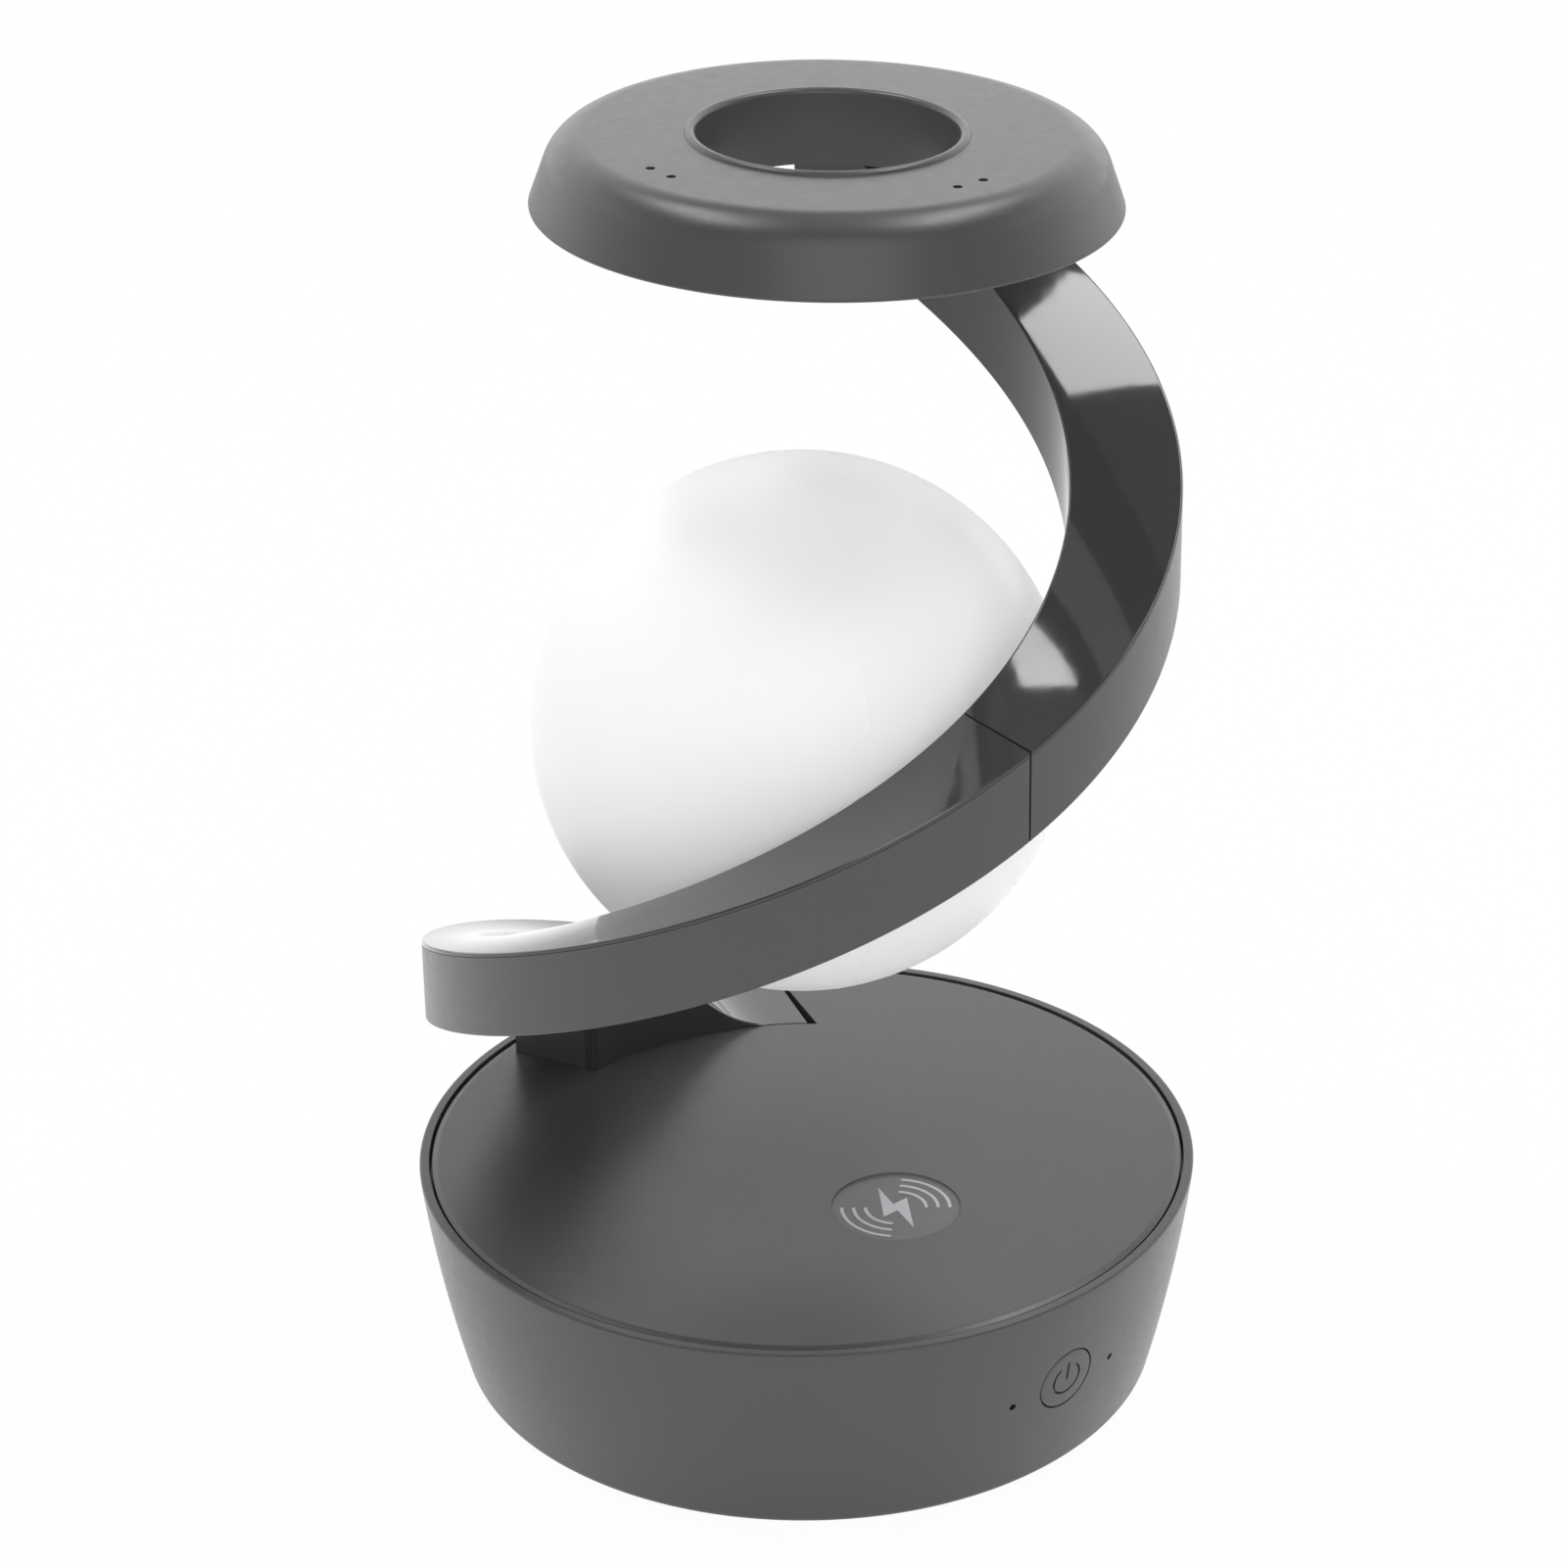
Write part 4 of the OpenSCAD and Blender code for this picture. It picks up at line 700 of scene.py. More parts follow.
def slot_outline(width, height, middle):
    """Points of an upright slot with round ends that faces along Y."""
    half = (width - height) / 2
    ends = [(half, t) for t in spread(-90, 90, 12)] + [(-half, t) for t in spread(90, 270, 12)]
    return [middle + Vector((x + height / 2 * cos(radians(t)), 0, height / 2 * sin(radians(t))))
            for x, t in ends]


def deck_plate():
    """The deck with its bevel, open under the arm's foot and sunk under the charging sign."""
    base, arm = settings().base, settings().arm
    radius = base.radius - base.rim - base.groove
    plate = turned("deck_plate", filleted([
        (0, base.deck - base.plate, 0), (radius, base.deck - base.plate, 0),
        (radius, base.deck - base.bevel_fall, base.fit),
        (radius - base.bevel, base.deck, base.bevel * 0.7), (0, base.deck, 0),
    ]))
    tip_in = arm.ramp - degrees(arm.slot / arm_in(arm.ramp))
    tip_out = arm.ramp - degrees(arm.slot_out / (arm_in(arm.ramp) + arm_width(arm.ramp)))
    line = stops(arm.ramp, arm.foot + degrees(base.fit / arm_mid(arm.foot)), arm.step)
    plan = [across(a, 0, -base.fit) for a in [tip_in] + line]
    plan += [across(a, 1, base.fit) for a in line[::-1] + [tip_out]]
    cutters = [through("foot", [[p + Vector((0, 0, z)) for p in plan]
                                for z in (base.deck - 2 * base.plate, base.deck + base.plate)])]
    middle, seat = box_centre("charging_emblem"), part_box("emblem_mark")[0].z
    cutters.append(rod("sink", box_size("charging_emblem").x / 2 + base.fit, seat,
                       base.deck + base.plate, Matrix.Translation((middle.x, middle.y, 0)), 128))
    cut(plate, cutters)
    return dress(plate, "deck_plate", once(satin_abs))


def charging_emblem():
    """The clear disc over the charging coil, with a small polished chamfer."""
    low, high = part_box("charging_emblem")
    middle = (low + high) / 2
    radius, fall, film = (high.x - low.x) / 2, (high.z - low.z) / 3, (high.z - low.z) / 12
    disc = turned("charging_emblem", filleted([
        (0, low.z + film, 0), (radius, low.z + film, 0), (radius, high.z, fall), (0, high.z, 0),
    ]), Matrix.Translation((middle.x, middle.y, 0)), 128)
    return dress(disc, "charging_emblem", once(clear_sheet))


def wall_point(x, z, inset=0.0):
    """The point of the drum's front wall at a place aside and a height."""
    radius = wall_out(z) - inset
    return Vector((x, -sqrt(radius * radius - x * x), z))


def wall_ring(radius, height, inset=0.0):
    """A circle of points on the drum's front wall."""
    return [wall_point(radius * cos(radians(t)), height + radius * sin(radians(t)), inset)
            for t in spread(0, 360, 96)[:-1]]


def power_button():
    """Cap that follows the drum's bow, with a soft edge, a sunk power sign, a flange and a post."""
    base = settings().base
    radius, edge, height = base.button / 2, base.button_edge, button_height()
    flange, post = box_size("power_button").x / 2, box_size("switch_plunger").x / 2
    post_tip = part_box("switch_plunger")[0].y
    flat = base.flange_back
    rings = [wall_ring(r, height) for r in spread(0, radius - edge, 8)[1:]]
    rings += [wall_ring(radius - edge + edge * sin(radians(t)), height, edge * (1 - cos(radians(t))))
              for t in spread(0, 90, 6)[1:]]
    for r, y in ((radius, flat + base.flange), (flange, flat + base.flange), (flange, flat),
                 (post, flat), (post, -post_tip)):
        rings.append([Vector((r * cos(radians(t)), -y, height + r * sin(radians(t))))
                      for t in spread(0, 360, 96)[:-1]])
    cap = through("power_button", rings)
    cut(cap, [power_ring(height), power_bar(height)])
    return dress(cap, "power_button", once(satin_abs), 40)


def power_ring(height):
    """Cutter for the open ring of the power sign."""
    base = settings().base
    inner, outer = (base.symbol - base.stroke) / 2, (base.symbol + base.stroke) / 2
    rings = []
    for t in spread(90 + base.symbol_gap, 450 - base.symbol_gap, 60):
        line = [(inner, base.depth), (outer, base.depth), (outer, -base.wall), (inner, -base.wall)]
        rings.append([wall_point(r * cos(radians(t)), height + r * sin(radians(t)), inset)
                      for r, inset in line])
    return through("power_ring", rings)


def power_bar(height):
    """Cutter for the upright bar of the power sign."""
    base = settings().base
    half = base.stroke / 2
    top = height + base.symbol / 2 + base.stroke
    rings = []
    for z in spread(top - base.symbol * 0.6, top, 6):
        line = [(-half, base.depth), (half, base.depth), (half, -base.wall), (-half, -base.wall)]
        rings.append([wall_point(x, z, inset) for x, inset in line])
    return through("power_bar", rings)


def ease(x):
    """A smooth step from 0 to 1."""
    x = max(0, min(1, x))
    return x * x * (3 - 2 * x)


def turns_climbed(a):
    """Full turns that the arm has climbed at an azimuth."""
    return (a - settings().arm.start) / 360


def share(a):
    """How far along the arm an azimuth lies, from 0 to 1."""
    arm = settings().arm
    return (a - arm.start) / (arm.end - arm.start)


def arm_in(a):
    """Inner radius of the arm at an azimuth."""
    arm = settings().arm
    if a < arm.side:
        return arm.in_foot + (arm.in_side - arm.in_foot) * ease((a - arm.flat) / (arm.side - arm.flat))
    way = (a - arm.side) / (arm.end - arm.side)
    return arm.in_side - (arm.in_side - arm.in_end) * way ** arm.fall_power


def arm_width(a):
    """Width of the arm at an azimuth."""
    arm = settings().arm
    return arm.w_foot + (arm.w_end - arm.w_foot) * share(a)


def arm_mid(a):
    """Radius of the arm's middle line at an azimuth."""
    return arm_in(a) + arm_width(a) / 2


def arm_top(a):
    """Height of the arm's top at an azimuth."""
    arm, turn = settings().arm, turns_climbed(a)
    swept = ease((a - arm.ramp_rise) / (arm.ramp_full - arm.ramp_rise))
    return settings().base.deck + (arm.rise * turn + arm.lift * turn * turn) * swept


def arm_under(a):
    """Height of the arm's underside at an azimuth."""
    arm = settings().arm
    return arm_top(a) - arm.h_foot - (arm.h_end - arm.h_foot) * share(a)


def skew(a):
    """Turn between the two ends of a station, at the ramp's tip and the foot's end."""
    arm = settings().arm
    ramp = arm.ramp_skew * max(0, 1 - (a - arm.ramp) / arm.skew_run)
    return ramp + arm.foot_skew * max(0, 1 - abs(a - arm.foot) / arm.skew_run)


def across(a, part, aside):
    """A point of a station in plan: part 0 is the inner end and 1 the outer."""
    b = a + skew(a)
    inner, outer = polar(arm_in(a), a), polar(arm_in(b) + arm_width(b), b)
    way = outer - inner
    return inner + way * part + way.normalized() * aside


def ring_axis():
    """The way that the ring's axis points."""
    ring = settings().ring
    return Vector((sin(ring.lean) * cos(radians(ring.lean_to)),
                   sin(ring.lean) * sin(radians(ring.lean_to)), cos(ring.lean)))


def ring_rise(way):
    """Rise of the ring's plane over a way in plan."""
    axis = ring_axis()
    return -(way.x * axis.x + way.y * axis.y) / axis.z


def ring_middle():
    """Centre of the ring's underside: its wall is flush with the arm's end and it rests on the arm."""
    arm, ring = settings().arm, settings().ring
    middle = polar(arm_mid(arm.stem), arm.stem) - polar(ring.radius - arm.w_end / 2, ring.stem)
    contact = polar(arm_mid(arm.contact), arm.contact)
    middle.z = arm_top(arm.contact) + settings().base.fit - ring_rise(contact - middle)
    return middle


def ring_place():
    """The ring's frame."""
    ring = settings().ring
    turn = Matrix.Rotation(radians(ring.lean_to), 4, "Z")
    return Matrix.Translation(ring_middle()) @ turn @ Matrix.Rotation(ring.lean, 4, "Y") @ turn.inverted()


class Station:
    """One cut across the arm, in which points are given by distance from the inner or outer face."""

    def __init__(self, a):
        self.a, self.turn = a, skew(a)
        self.width = (across(a, 1, 0) - across(a, 0, 0)).length
        self.middle = ring_middle()

    def point(self, level, inner=None, outer=None, up=0.0):
        """A point by its level and its distance from a face; up is added to the level."""
        arm, base = settings().arm, settings().base
        flat = across(self.a, 0, inner) if outer is None else across(self.a, 1, -outer)
        part = (flat - across(self.a, 0, 0)).length / self.width
        b = self.a + self.turn * part
        top = min(arm_top(b), self.middle.z + ring_rise(flat - self.middle) - base.fit)
        if level == "top":
            return Vector((flat.x, flat.y, top + up))
        shelf = base.deck - base.plate
        under = shelf if self.a <= arm.foot else arm_under(b)
        if level == "under":
            return Vector((flat.x, flat.y, under + up))
        if level == "belly":
            return Vector((flat.x, flat.y, max(arm_under(b), shelf) + up))
        roof = top - arm.cover - base.fit
        wall_turn = degrees(arm.wall / arm_mid(self.a))
        floor = shelf + arm.wall if self.a <= arm.foot - wall_turn else arm_under(b) + arm.wall
        if self.a > arm.end - wall_turn:
            floor = roof
        return Vector((flat.x, flat.y, min(floor, roof) + up))

    def rounded(self, level, face, radius, turns, draw=0.0):
        """Points of a rounded edge: at 0 degrees it meets the face, at 90 the top or the underside."""
        way = -radius if level == "top" else radius
        return [self.point(level, up=way * (1 - sin(radians(t))),
                           **{face: draw + radius * (1 - cos(radians(t)))}) for t in turns]


def corner_cut(a):
    """How far the foot's rounded corner draws the inner face back at an azimuth."""
    arm = settings().arm
    before = radians(arm.foot - a) * arm_in(a)
    if before < 0 or before > arm.corner:
        return 0
    way = arm.corner - before
    return arm.corner - sqrt(arm.corner * arm.corner - way * way)


def cover_section(a):
    """The glossy cover: inner wall and top, with rounded top edges and a lip over the outer wall."""
    arm, base, cross = settings().arm, settings().base, Station(a)
    edge, soft, draw = arm.edge, arm.soft, corner_cut(a)
    points = [cross.point("under", inner=draw + soft), cross.point("under", inner=arm.cover),
              cross.point("top", inner=arm.cover, up=-arm.cover),
              cross.point("top", outer=arm.wall + base.fit, up=-arm.cover),
              cross.point("top", outer=arm.wall + base.fit, up=-arm.lip),
              cross.point("top", outer=0, up=-arm.lip)]
    points += cross.rounded("top", "outer", edge, spread(0, 90, 5))
    points += [cross.point("top", outer=aside) for aside in (edge * 1.3, cross.width / 3)]
    points += [cross.point("top", inner=aside) for aside in (cross.width / 3, edge * 1.3)]
    points += cross.rounded("top", "inner", edge, spread(90, 0, 5))
    points += [cross.point("top", inner=0, up=-edge * 1.4), cross.point("belly", inner=0, up=soft * 1.4),
               cross.point("belly", inner=draw, up=soft * 1.1)]
    return points + cross.rounded("under", "inner", soft, spread(0, 90, 4)[:-1], draw)


def body_section(a):
    """The satin body: outer wall and floor, with a rounded lower edge."""
    arm, base, cross = settings().arm, settings().base, Station(a)
    start = arm.cover + base.fit
    points = [cross.point("floor", inner=start), cross.point("under", inner=start)]
    points += cross.rounded("under", "outer", arm.soft, spread(90, 0, 5))
    return points + [cross.point("under", outer=0, up=arm.soft * 1.4),
                     cross.point("top", outer=0, up=-arm.lip - base.fit),
                     cross.point("top", outer=arm.wall, up=-arm.lip - base.fit),
                     cross.point("floor", outer=arm.wall)]


def arm_length(name, section, stations):
    """One length of the arm, swept through its stations."""
    return through(name, [section(a) for a in stations])


def screw_seats(azimuths):
    """Cutters for the screws in the arm's underside, at the sides of the cable channel."""
    arm = settings().arm
    outline = [(0, -arm.head_deep), (arm.screw_head, -arm.head_deep), (arm.screw_head, arm.head_deep),
               (arm.screw_shank, arm.head_deep), (arm.screw_shank, arm.screw_deep), (0, arm.screw_deep)]
    cutters = []
    for a in azimuths:
        slope = atan(degrees(1) * (arm_top(a + 1) - arm_top(a - 1)) / 2 / arm_mid(a))
        inner = (arm_in(a) + arm.cover + arm_mid(a) - arm.channel / 2) / 2
        outer = (arm_in(a) + arm_width(a) - arm.wall + arm_mid(a) + arm.channel / 2) / 2
        for radius in (inner, outer):
            place = (Matrix.Translation(polar(radius, a, arm_under(a)))
                     @ Matrix.Rotation(radians(a), 4, "Z") @ Matrix.Rotation(slope, 4, "X"))
            cutters.append(turned("screw_seat", outline, place, 32))
    return cutters


def neck_place(height):
    """A frame on the drum's axis at a height, its Z axis pointing along the globe's neck."""
    return (Matrix.Translation((0, 0, height))
            @ Matrix.Rotation(radians(settings().arm.neck), 4, "Z") @ Matrix.Rotation(pi / 2, 4, "Y"))


def spiral_arm():
    """Both lengths of the arm, each a satin body and a glossy cover."""
    arm = settings().arm
    # A turn so small that two stations stand at one place
    hair = 0.02
    half_gap = degrees(arm.gap / 2 / arm_mid(arm.parting))
    foot_wall = degrees(arm.wall / arm_mid(arm.foot))
    end_wall = degrees(arm.wall / arm_mid(arm.end))
    rounding = degrees(arm.corner / arm_in(arm.foot))
    lower = stops(arm.ramp, arm.foot - foot_wall - hair, arm.step)
    lower += stops(arm.foot - foot_wall + hair, arm.foot - rounding, arm.step)
    lower += [arm.foot - rounding * cos(radians(t)) for t in spread(0, 90, 8)[1:]]
    lower += stops(arm.foot + hair, arm.parting - half_gap, arm.step)
    upper = stops(arm.parting + half_gap, arm.contact, arm.step)
    upper += stops(arm.contact, arm.end - end_wall - hair, arm.step)[1:]
    upper += [arm.end - end_wall + hair, arm.end]
    lower_body = arm_length("arm_lower_body", body_section, lower)
    cut(lower_body, screw_seats([arm.parting - arm.screws]))
    upper_body = arm_length("arm_upper_body", body_section, upper)
    cut(upper_body, screw_seats([arm.parting + arm.screws, arm.bracket]))
    lower_cover = arm_length("arm_lower_cover", cover_section, lower)
    neck = neck_place(box_centre("globe_nut").z)
    cut(lower_cover, [rod("neck", settings().globe.neck / 2, arm.in_end, arm.in_side + arm.wall, neck)])
    upper_cover = arm_length("arm_upper_cover", cover_section, upper)
    stem = box_size("stem_nut").z * 1.5
    middle = ring_place() @ polar(settings().ring.radius - arm.w_end / 2, settings().ring.stem)
    cut(upper_cover, [rod("stem", stem, -arm.h_end / 2, arm.h_end, Matrix.Translation(middle))])
    dress(lower_body, "arm_lower_body", once(satin_abs))
    dress(upper_body, "arm_upper_body", once(satin_abs))
    dress(lower_cover, "arm_lower_cover", once(gloss_abs))
    dress(upper_cover, "arm_upper_cover", once(gloss_abs))


def milky_globe():
    """Hollow globe with a faint moulding seam in the upright plane of its neck."""
    arm, globe = settings().arm, settings().globe
    radius, middle = box_size("globe").z / 2, box_centre("globe")
    # Close steps across the seam, out to about four of its widths, and wide ones beyond
    fine = radius / globe.seam_width
    seam_end = 4 / fine * 60
    leans = sorted({round(side * k, 5) for side in (-1, 1)
                    for k in stops(0, seam_end, 12 / fine) + stops(seam_end, 90, 2.5)})
    outline = []
    for lean in leans:
        aside = radians(lean) * fine
        swell = globe.seam * (exp(-aside * aside * 2) - 1)
        outline.append(((radius + swell) * cos(radians(lean)), (radius + swell) * sin(radians(lean))))
    inner = radius - globe.wall
    outline += [(inner * cos(radians(t)), inner * sin(radians(t))) for t in spread(90, -90, 72)]
    upright = Matrix.Rotation(radians(arm.neck), 4, "Z") @ Matrix.Rotation(pi / 2, 4, "X")
    ball = turned("globe", outline, Matrix.Translation((0, 0, middle.z)) @ upright, 240)
    neck = neck_place(middle.z + globe.neck_lift)
    cut(ball, [rod("neck", globe.neck / 2, inner * 0.8, radius * 1.2, neck)])
    return dress(ball, "globe", once(milky_plastic), 40)


def ring_head():
    """Ring shell: leaning wall, large rounding, flat top, bead and hole, with four small holes."""
    ring = settings().ring
    lean = atan(ring.draft)
    round_z = ring.height - ring.round
    round_x = ring.radius - ring.draft * (round_z + ring.round * sin(lean)) - ring.round * cos(lean)

    def hole_at(z):
        """Radius of the hole at a height."""
        return ring.hole + ring.lip * z / ring.height

    def arc(radius):
        """The large rounding, or its inner face with a smaller radius."""
        return [(round_x + radius * sin(t), round_z + radius * cos(t))
                for t in spread(pi / 2 - lean, 0, 28)]

    top = hole_at(ring.height) + ring.bead
    sink = ring.bead / 3
    outer = filleted([(hole_at(0), 0, 0), (ring.radius, 0, ring.hem), arc(ring.round)[0] + (0,)])[:-1]
    start = asin(sink / ring.bead)
    bead = [(top + ring.bead * cos(t), ring.height - sink + ring.bead * sin(t))
            for t in spread(start, pi, 18)]
    inner_wall = ring.radius - ring.wall / cos(lean)
    hollow = [(hole_at(0) + ring.wall, 0), (hole_at(ring.height) + ring.wall, ring.height - ring.wall)]
    inside = list(reversed(arc(ring.round - ring.wall))) + [(inner_wall, 0)]
    outline = [inside[-1]] + outer[1:] + arc(ring.round) + bead + [(hole_at(0), 0)] + hollow + inside[:-1]
    shell = turned("ring_shell", outline, ring_place(), 320)
    holes = [rod("hole", ring.pinhole / 2, ring.height - 2 * ring.wall, ring.height + ring.wall,
                 ring_place() @ Matrix.Translation(polar(ring.pinhole_at, a)), 32)
             for a in PINHOLES]
    cut(shell, holes)
    return dress(shell, "ring_shell", once(satin_abs))


def inner_finishes():
    """Finishes of the CAD nodes that keep their own shape."""
    finish_nodes(once(black_abs), "bottom_cover", "ring_bottom_plate", "arm_joint_plug",
                 "switch_plunger", "usb_tongue")
    finish_nodes(once(rubber), "rubber_feet")
    finish_nodes(once(cast_plate), "ballast_plate")
    finish_nodes(once(metal, "nickel-plated steel", "#B9B8B3", 0.28, 0.3, "X"),
                 "ballast_screws", "cover_screws", "foot_screws", "coil_screws", "board_screws",
                 "button_screws", "joint_screws", "ring_screws", "bracket_screws", "globe_nut",
                 "stem_nut", "usb_socket", "tact_switch", "globe_collar", "ring_bracket")
    finish_nodes(once(metal, "turned aluminium", "#C6C8CA", 0.3, 0.25, "Z"), "light_post")
    finish_nodes(once(wound_copper), "charging_coil")
    finish_nodes(once(plain_moulding, "sintered ferrite", "#3B3836", 0.55, 0.4), "ferrite_disc")
    finish_nodes(once(plain_moulding, "potted components", "#2A2B2E", 0.4, 0.5), "board_parts")
    finish_nodes(once(plain_moulding, "natural nylon", "#CFC9BA", 0.45, 0.6), "coil_tray")
    finish_nodes(once(circuit_board, "green solder mask", "#14532B"), "main_board", "button_board")
    finish_nodes(once(circuit_board, "white solder mask", "#DADBD8"), "globe_light_board",
                 "ring_light_board")
    finish_nodes(once(plain_moulding, "phosphor-topped diode", "#E3D26A", 0.3, 0.3),
                 "indicator_leds", "globe_leds", "ring_leds")
    finish_nodes(once(plain_moulding, "silicone insulation", "#222324", 0.5, 0.5),
                 "base_wires", "arm_cable", "globe_cable")
    # The indicator pipes get a near-black that paints the shade of their pinholes
    finish_nodes(once(pinhole_shade_pipe), "indicator_lights")
    finish_nodes(once(opal_sheet), "ring_diffuser")
    finish_nodes(once(silver_print), "emblem_mark")


def view_axes():
    """Right, up and back of the camera, in the lamp's frame."""
    studio = settings().studio
    forward = Vector((sin(studio.yaw) * cos(studio.pitch), cos(studio.yaw) * cos(studio.pitch),
                      -sin(studio.pitch)))
    level = Vector((cos(studio.yaw), -sin(studio.yaw), 0))
    raised = level.cross(forward)
    right = level * cos(studio.roll) + raised * sin(studio.roll)
    up = raised * cos(studio.roll) - level * sin(studio.roll)
    turn = Matrix.Rotation(-studio.turn, 3, "Z")
    return turn @ right, turn @ up, turn @ -forward


def camera():
    """The camera at the photograph's view."""
    studio = settings().studio
    lens = bpy.data.cameras.new("camera")
    lens.lens, lens.sensor_width = studio.focal, studio.sensor
    lens.clip_start, lens.clip_end = studio.clip_near, studio.clip_far
    holder = bpy.data.objects.new("camera", lens)
    bpy.context.scene.collection.objects.link(holder)
    place = Matrix([list(axis) + [0] for axis in view_axes()] + [[0, 0, 0, 1]]).transposed()
    spot = Matrix.Rotation(-studio.turn, 3, "Z") @ Vector((0, -studio.distance, studio.height))
    place.translation = spot + Vector((0, 0, settings().base.deck))
    holder.matrix_world = place
    bpy.context.scene.camera = holder


def soft_box(name, spot, width, length, brightness, level):
    """A soft box, hung level or facing the lamp."""
    studio = settings().studio
    lamp = bpy.data.lights.new(name, "AREA")
    lamp.shape, lamp.size, lamp.size_y = "RECTANGLE", width, length
    lamp.energy = brightness * pi * width * length
    holder = bpy.data.objects.new(name, lamp)
    bpy.context.scene.collection.objects.link(holder)
    turn = Matrix.Rotation(-studio.turn, 4, "Z")
    holder.matrix_world = Matrix.Translation((0, 0, studio.aim)) @ turn @ Matrix.Translation(spot)
    if not level:
        way = turn.to_3x3() @ Vector(spot)
        holder.matrix_world = (Matrix.Translation(holder.matrix_world.translation)
                               @ way.to_track_quat("Z", "Y").to_matrix().to_4x4())
    holder.visible_camera = False


def floor_sheet():
    """White paper that the lamp stands on. It stays white to the camera and keeps a soft shadow."""
    studio = settings().studio
    sheet = turned("floor", [(0, -studio.sheet), (studio.floor, -studio.sheet), (studio.floor, 0),
                             (0, 0)], sides=96)
    material, tree, output, place = new_material("white paper")
    paper = add(tree, "ShaderNodeBsdfPrincipled", {
        "Base Color": mottled(tree, place, linear("#F2F2F2"), 0.01, 40), "Roughness": 0.9,
        "Specular IOR Level": 0.0,
    })
    seen, mirrored = ray_kinds(tree)
    white = worked(tree, "MAXIMUM", worked(tree, "MULTIPLY", seen, studio.floor_white),
                   worked(tree, "MULTIPLY", mirrored, studio.floor_seen))
    off = add(tree, "ShaderNodeVectorMath", {0: place}, operation="LENGTH").outputs["Value"]
    light = ranged(tree, off, studio.near, studio.far, studio.near_light, studio.far_light)
    glow = add(tree, "ShaderNodeEmission", {
        "Color": (1, 1, 1, 1), "Strength": chosen(tree, seen, light, 1.0),
    })
    mix = add(tree, "ShaderNodeMixShader", {
        "Fac": white, 1: paper.outputs["BSDF"], 2: glow.outputs["Emission"],
    })
    tree.links.new(mix.outputs[0], output.inputs["Surface"])
    sheet.data.materials.append(material)


def surroundings():
    """White behind the lamp; round it a plain room, with its white sweep up to a low height."""
    studio = settings().studio
    world = bpy.data.worlds.new("studio")
    world.use_nodes = True
    tree = world.node_tree
    tree.nodes.clear()
    output = add(tree, "ShaderNodeOutputWorld")
    way = add(tree, "ShaderNodeTexCoord").outputs["Generated"]
    height = add(tree, "ShaderNodeSeparateXYZ", {"Vector": way}).outputs["Z"]
    sweep = ranged(tree, height, studio.sweep_foot, studio.sweep_head, studio.sweep, studio.ceiling)
    away = Matrix.Rotation(-studio.turn, 3, "Z") @ Vector((0, 1, 0))
    behind = add(tree, "ShaderNodeVectorMath", {0: way, 1: tuple(away)}, operation="DOT_PRODUCT")
    part = ranged(tree, behind.outputs["Value"], studio.front_from, studio.front_to, studio.front, 1.0)
    seen, mirrored = ray_kinds(tree)
    shown = chosen(tree, mirrored, studio.room, worked(tree, "MULTIPLY", sweep, part))
    back = add(tree, "ShaderNodeBackground", {
        "Color": (1, 1, 1, 1), "Strength": chosen(tree, seen, shown, 1.0),
    })
    tree.links.new(back.outputs["Background"], output.inputs["Surface"])
    bpy.context.scene.world = world


class LAMP_OT_drum(bpy.types.Operator):
    """Bowed drum wall with its rim, groove, shelf and openings."""
    bl_idname = "lamp.drum"
    bl_label = "Drum shell"

    def execute(self, context):
        drum_shell()
        return {"FINISHED"}


class LAMP_OT_deck(bpy.types.Operator):
    """Deck plate with its bevel, open under the arm's foot."""
    bl_idname = "lamp.deck"
    bl_label = "Deck plate"

    def execute(self, context):
        deck_plate()
        return {"FINISHED"}


class LAMP_OT_emblem(bpy.types.Operator):
    """Clear disc over the charging sign."""
    bl_idname = "lamp.emblem"
    bl_label = "Charging emblem"

    def execute(self, context):
        charging_emblem()
        return {"FINISHED"}


class LAMP_OT_button(bpy.types.Operator):
    """Button cap that follows the drum's bow, with its sunk power sign."""
    bl_idname = "lamp.button"
    bl_label = "Power button"

    def execute(self, context):
        power_button()
        return {"FINISHED"}


class LAMP_OT_arm(bpy.types.Operator):
    """Both lengths of the helical arm, satin bodies and glossy covers."""
    bl_idname = "lamp.arm"
    bl_label = "Spiral arm"

    def execute(self, context):
        spiral_arm()
        return {"FINISHED"}


class LAMP_OT_globe(bpy.types.Operator):
    """Milky hollow globe with its moulding seam."""
    bl_idname = "lamp.globe"
    bl_label = "Globe"

    def execute(self, context):
        milky_globe()
        return {"FINISHED"}


class LAMP_OT_ring(bpy.types.Operator):
    """Ring shell with its large rounding, bead and small holes."""
    bl_idname = "lamp.ring"
    bl_label = "Ring head"

    def execute(self, context):
        ring_head()
        return {"FINISHED"}


class LAMP_OT_finishes(bpy.types.Operator):
    """Finishes of the pieces that keep their CAD shape."""
    bl_idname = "lamp.finishes"
    bl_label = "Inner finishes"

    def execute(self, context):
        inner_finishes()
        return {"FINISHED"}


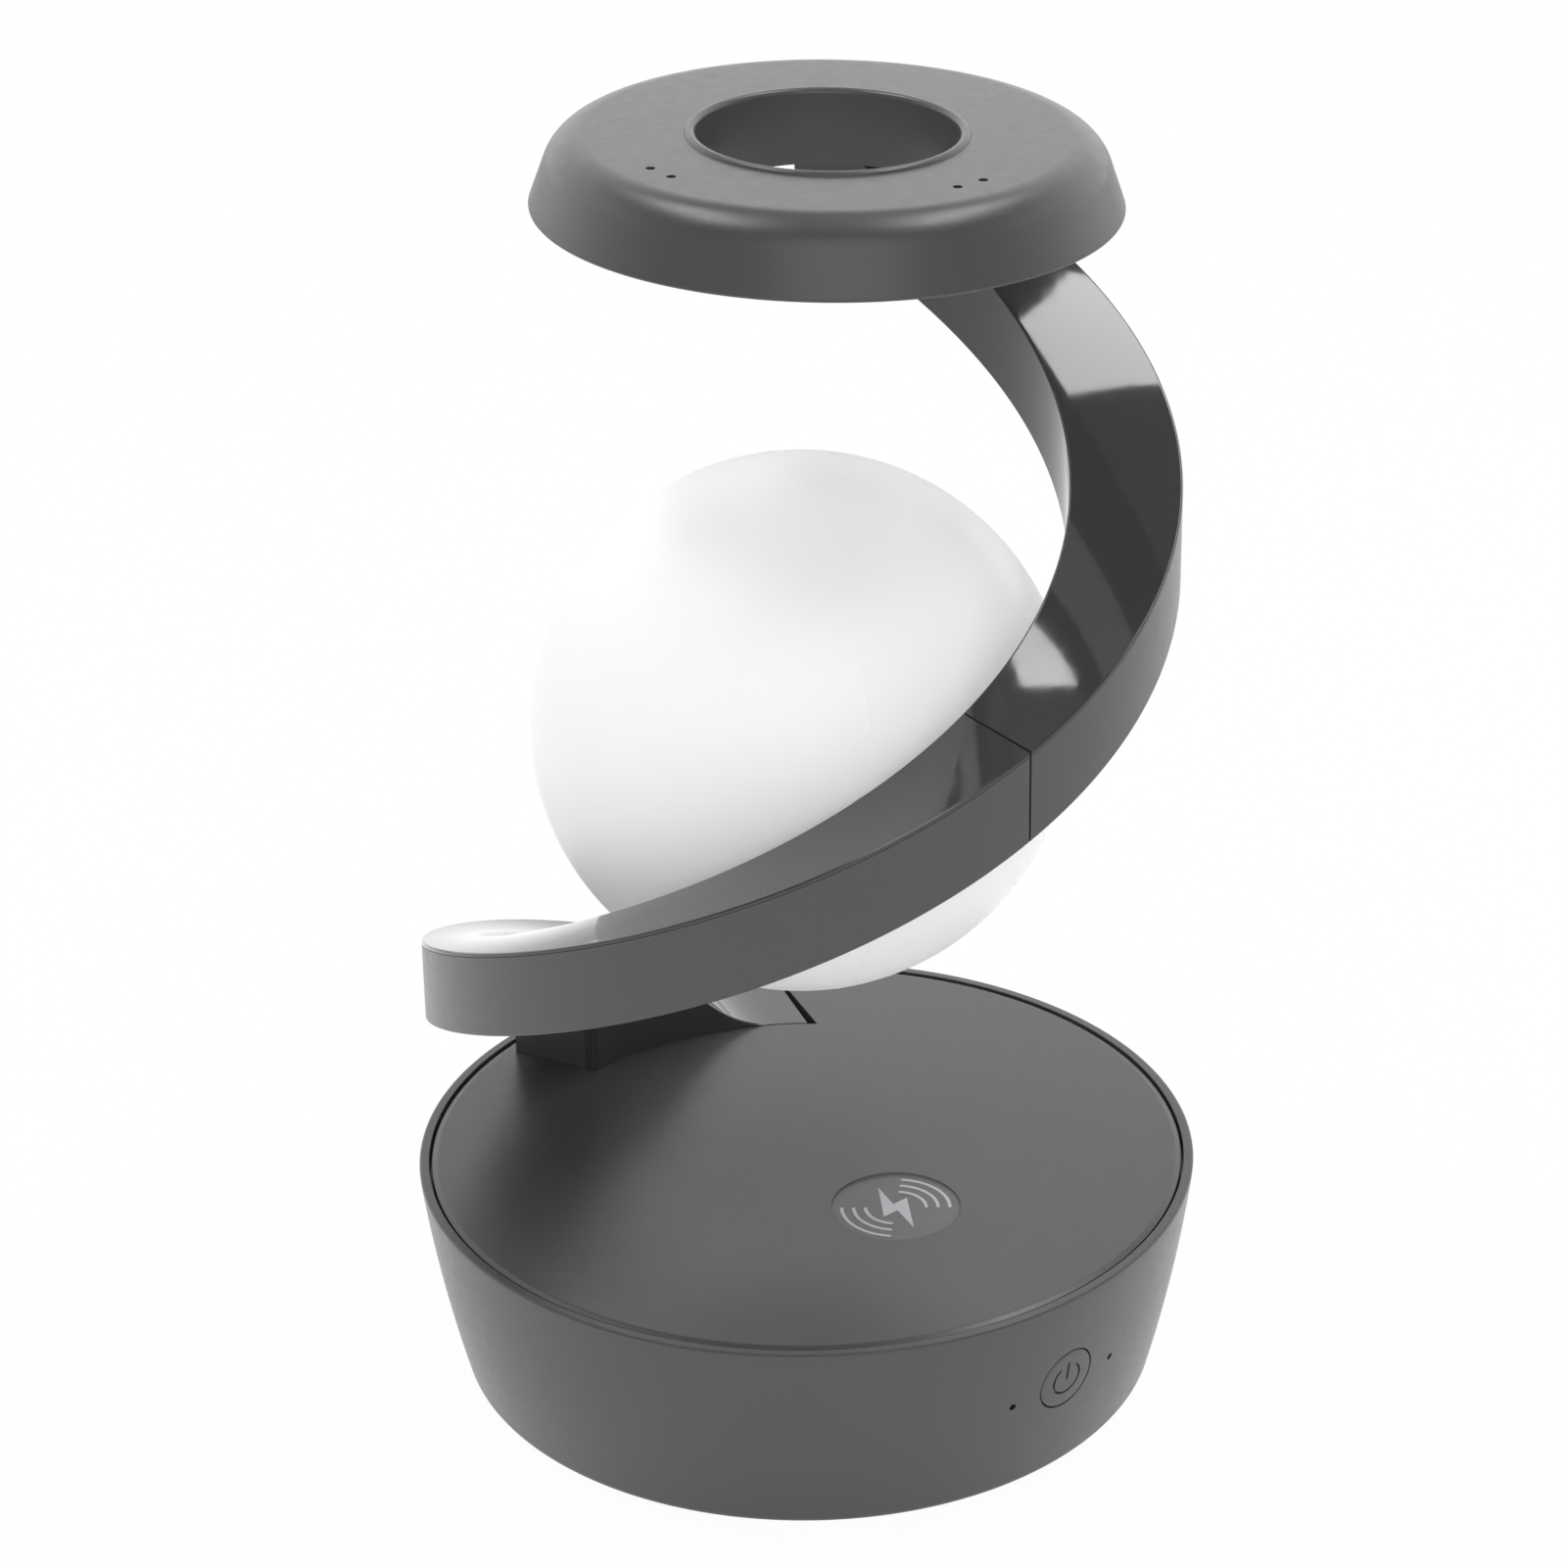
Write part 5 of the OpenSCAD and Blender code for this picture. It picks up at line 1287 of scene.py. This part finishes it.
class LAMP_OT_studio(bpy.types.Operator):
    """Camera, soft boxes, white paper and surroundings."""
    bl_idname = "lamp.studio"
    bl_label = "Studio"

    def execute(self, context):
        context.scene.view_settings.view_transform = "Standard"
        camera()
        surroundings()
        floor_sheet()
        for name, layout in SOFT_BOXES.items():
            soft_box(name, *layout)
        return {"FINISHED"}


class LampSettings(bpy.types.PropertyGroup):
    """Everything about the lamp that a user may change."""
    base: PointerProperty(type=BaseSizes)
    arm: PointerProperty(type=ArmSizes)
    ring: PointerProperty(type=RingSizes)
    globe: PointerProperty(type=GlobeSizes)
    finish: PointerProperty(type=Finishes)
    studio: PointerProperty(type=Studio)


STEPS = (LAMP_OT_studio, LAMP_OT_drum, LAMP_OT_deck, LAMP_OT_emblem, LAMP_OT_button, LAMP_OT_arm,
         LAMP_OT_globe, LAMP_OT_ring, LAMP_OT_finishes)


class LAMP_PT_lamp(bpy.types.Panel):
    """Lists the lamp's pieces and their settings."""
    bl_idname = "LAMP_PT_lamp"
    bl_label = "Levitating ball lamp"
    bl_space_type = "VIEW_3D"
    bl_region_type = "UI"
    bl_category = "Lamp"

    def draw(self, context):
        for step in STEPS:
            self.layout.operator(step.bl_idname)
        lamp = context.scene.lamp
        for group in (lamp.base, lamp.arm, lamp.ring, lamp.globe, lamp.finish, lamp.studio):
            box = self.layout.box()
            box.label(text=group.bl_rna.description)
            for name in group.__annotations__:
                box.prop(group, name)


GROUPS = (BaseSizes, ArmSizes, RingSizes, GlobeSizes, Finishes, Studio, LampSettings)


def register():
    """Adds the classes and the lamp's settings."""
    for kind in GROUPS + STEPS + (LAMP_PT_lamp,):
        bpy.utils.register_class(kind)
    bpy.types.Scene.lamp = PointerProperty(type=LampSettings)


def unregister():
    """Takes them away again."""
    del bpy.types.Scene.lamp
    for kind in reversed(GROUPS + STEPS + (LAMP_PT_lamp,)):
        bpy.utils.unregister_class(kind)


def main():
    """Builds the lamp."""
    register()
    for step in STEPS:
        group, name = step.bl_idname.split(".")
        getattr(getattr(bpy.ops, group), name)()


if __name__ == "__main__":
    main()
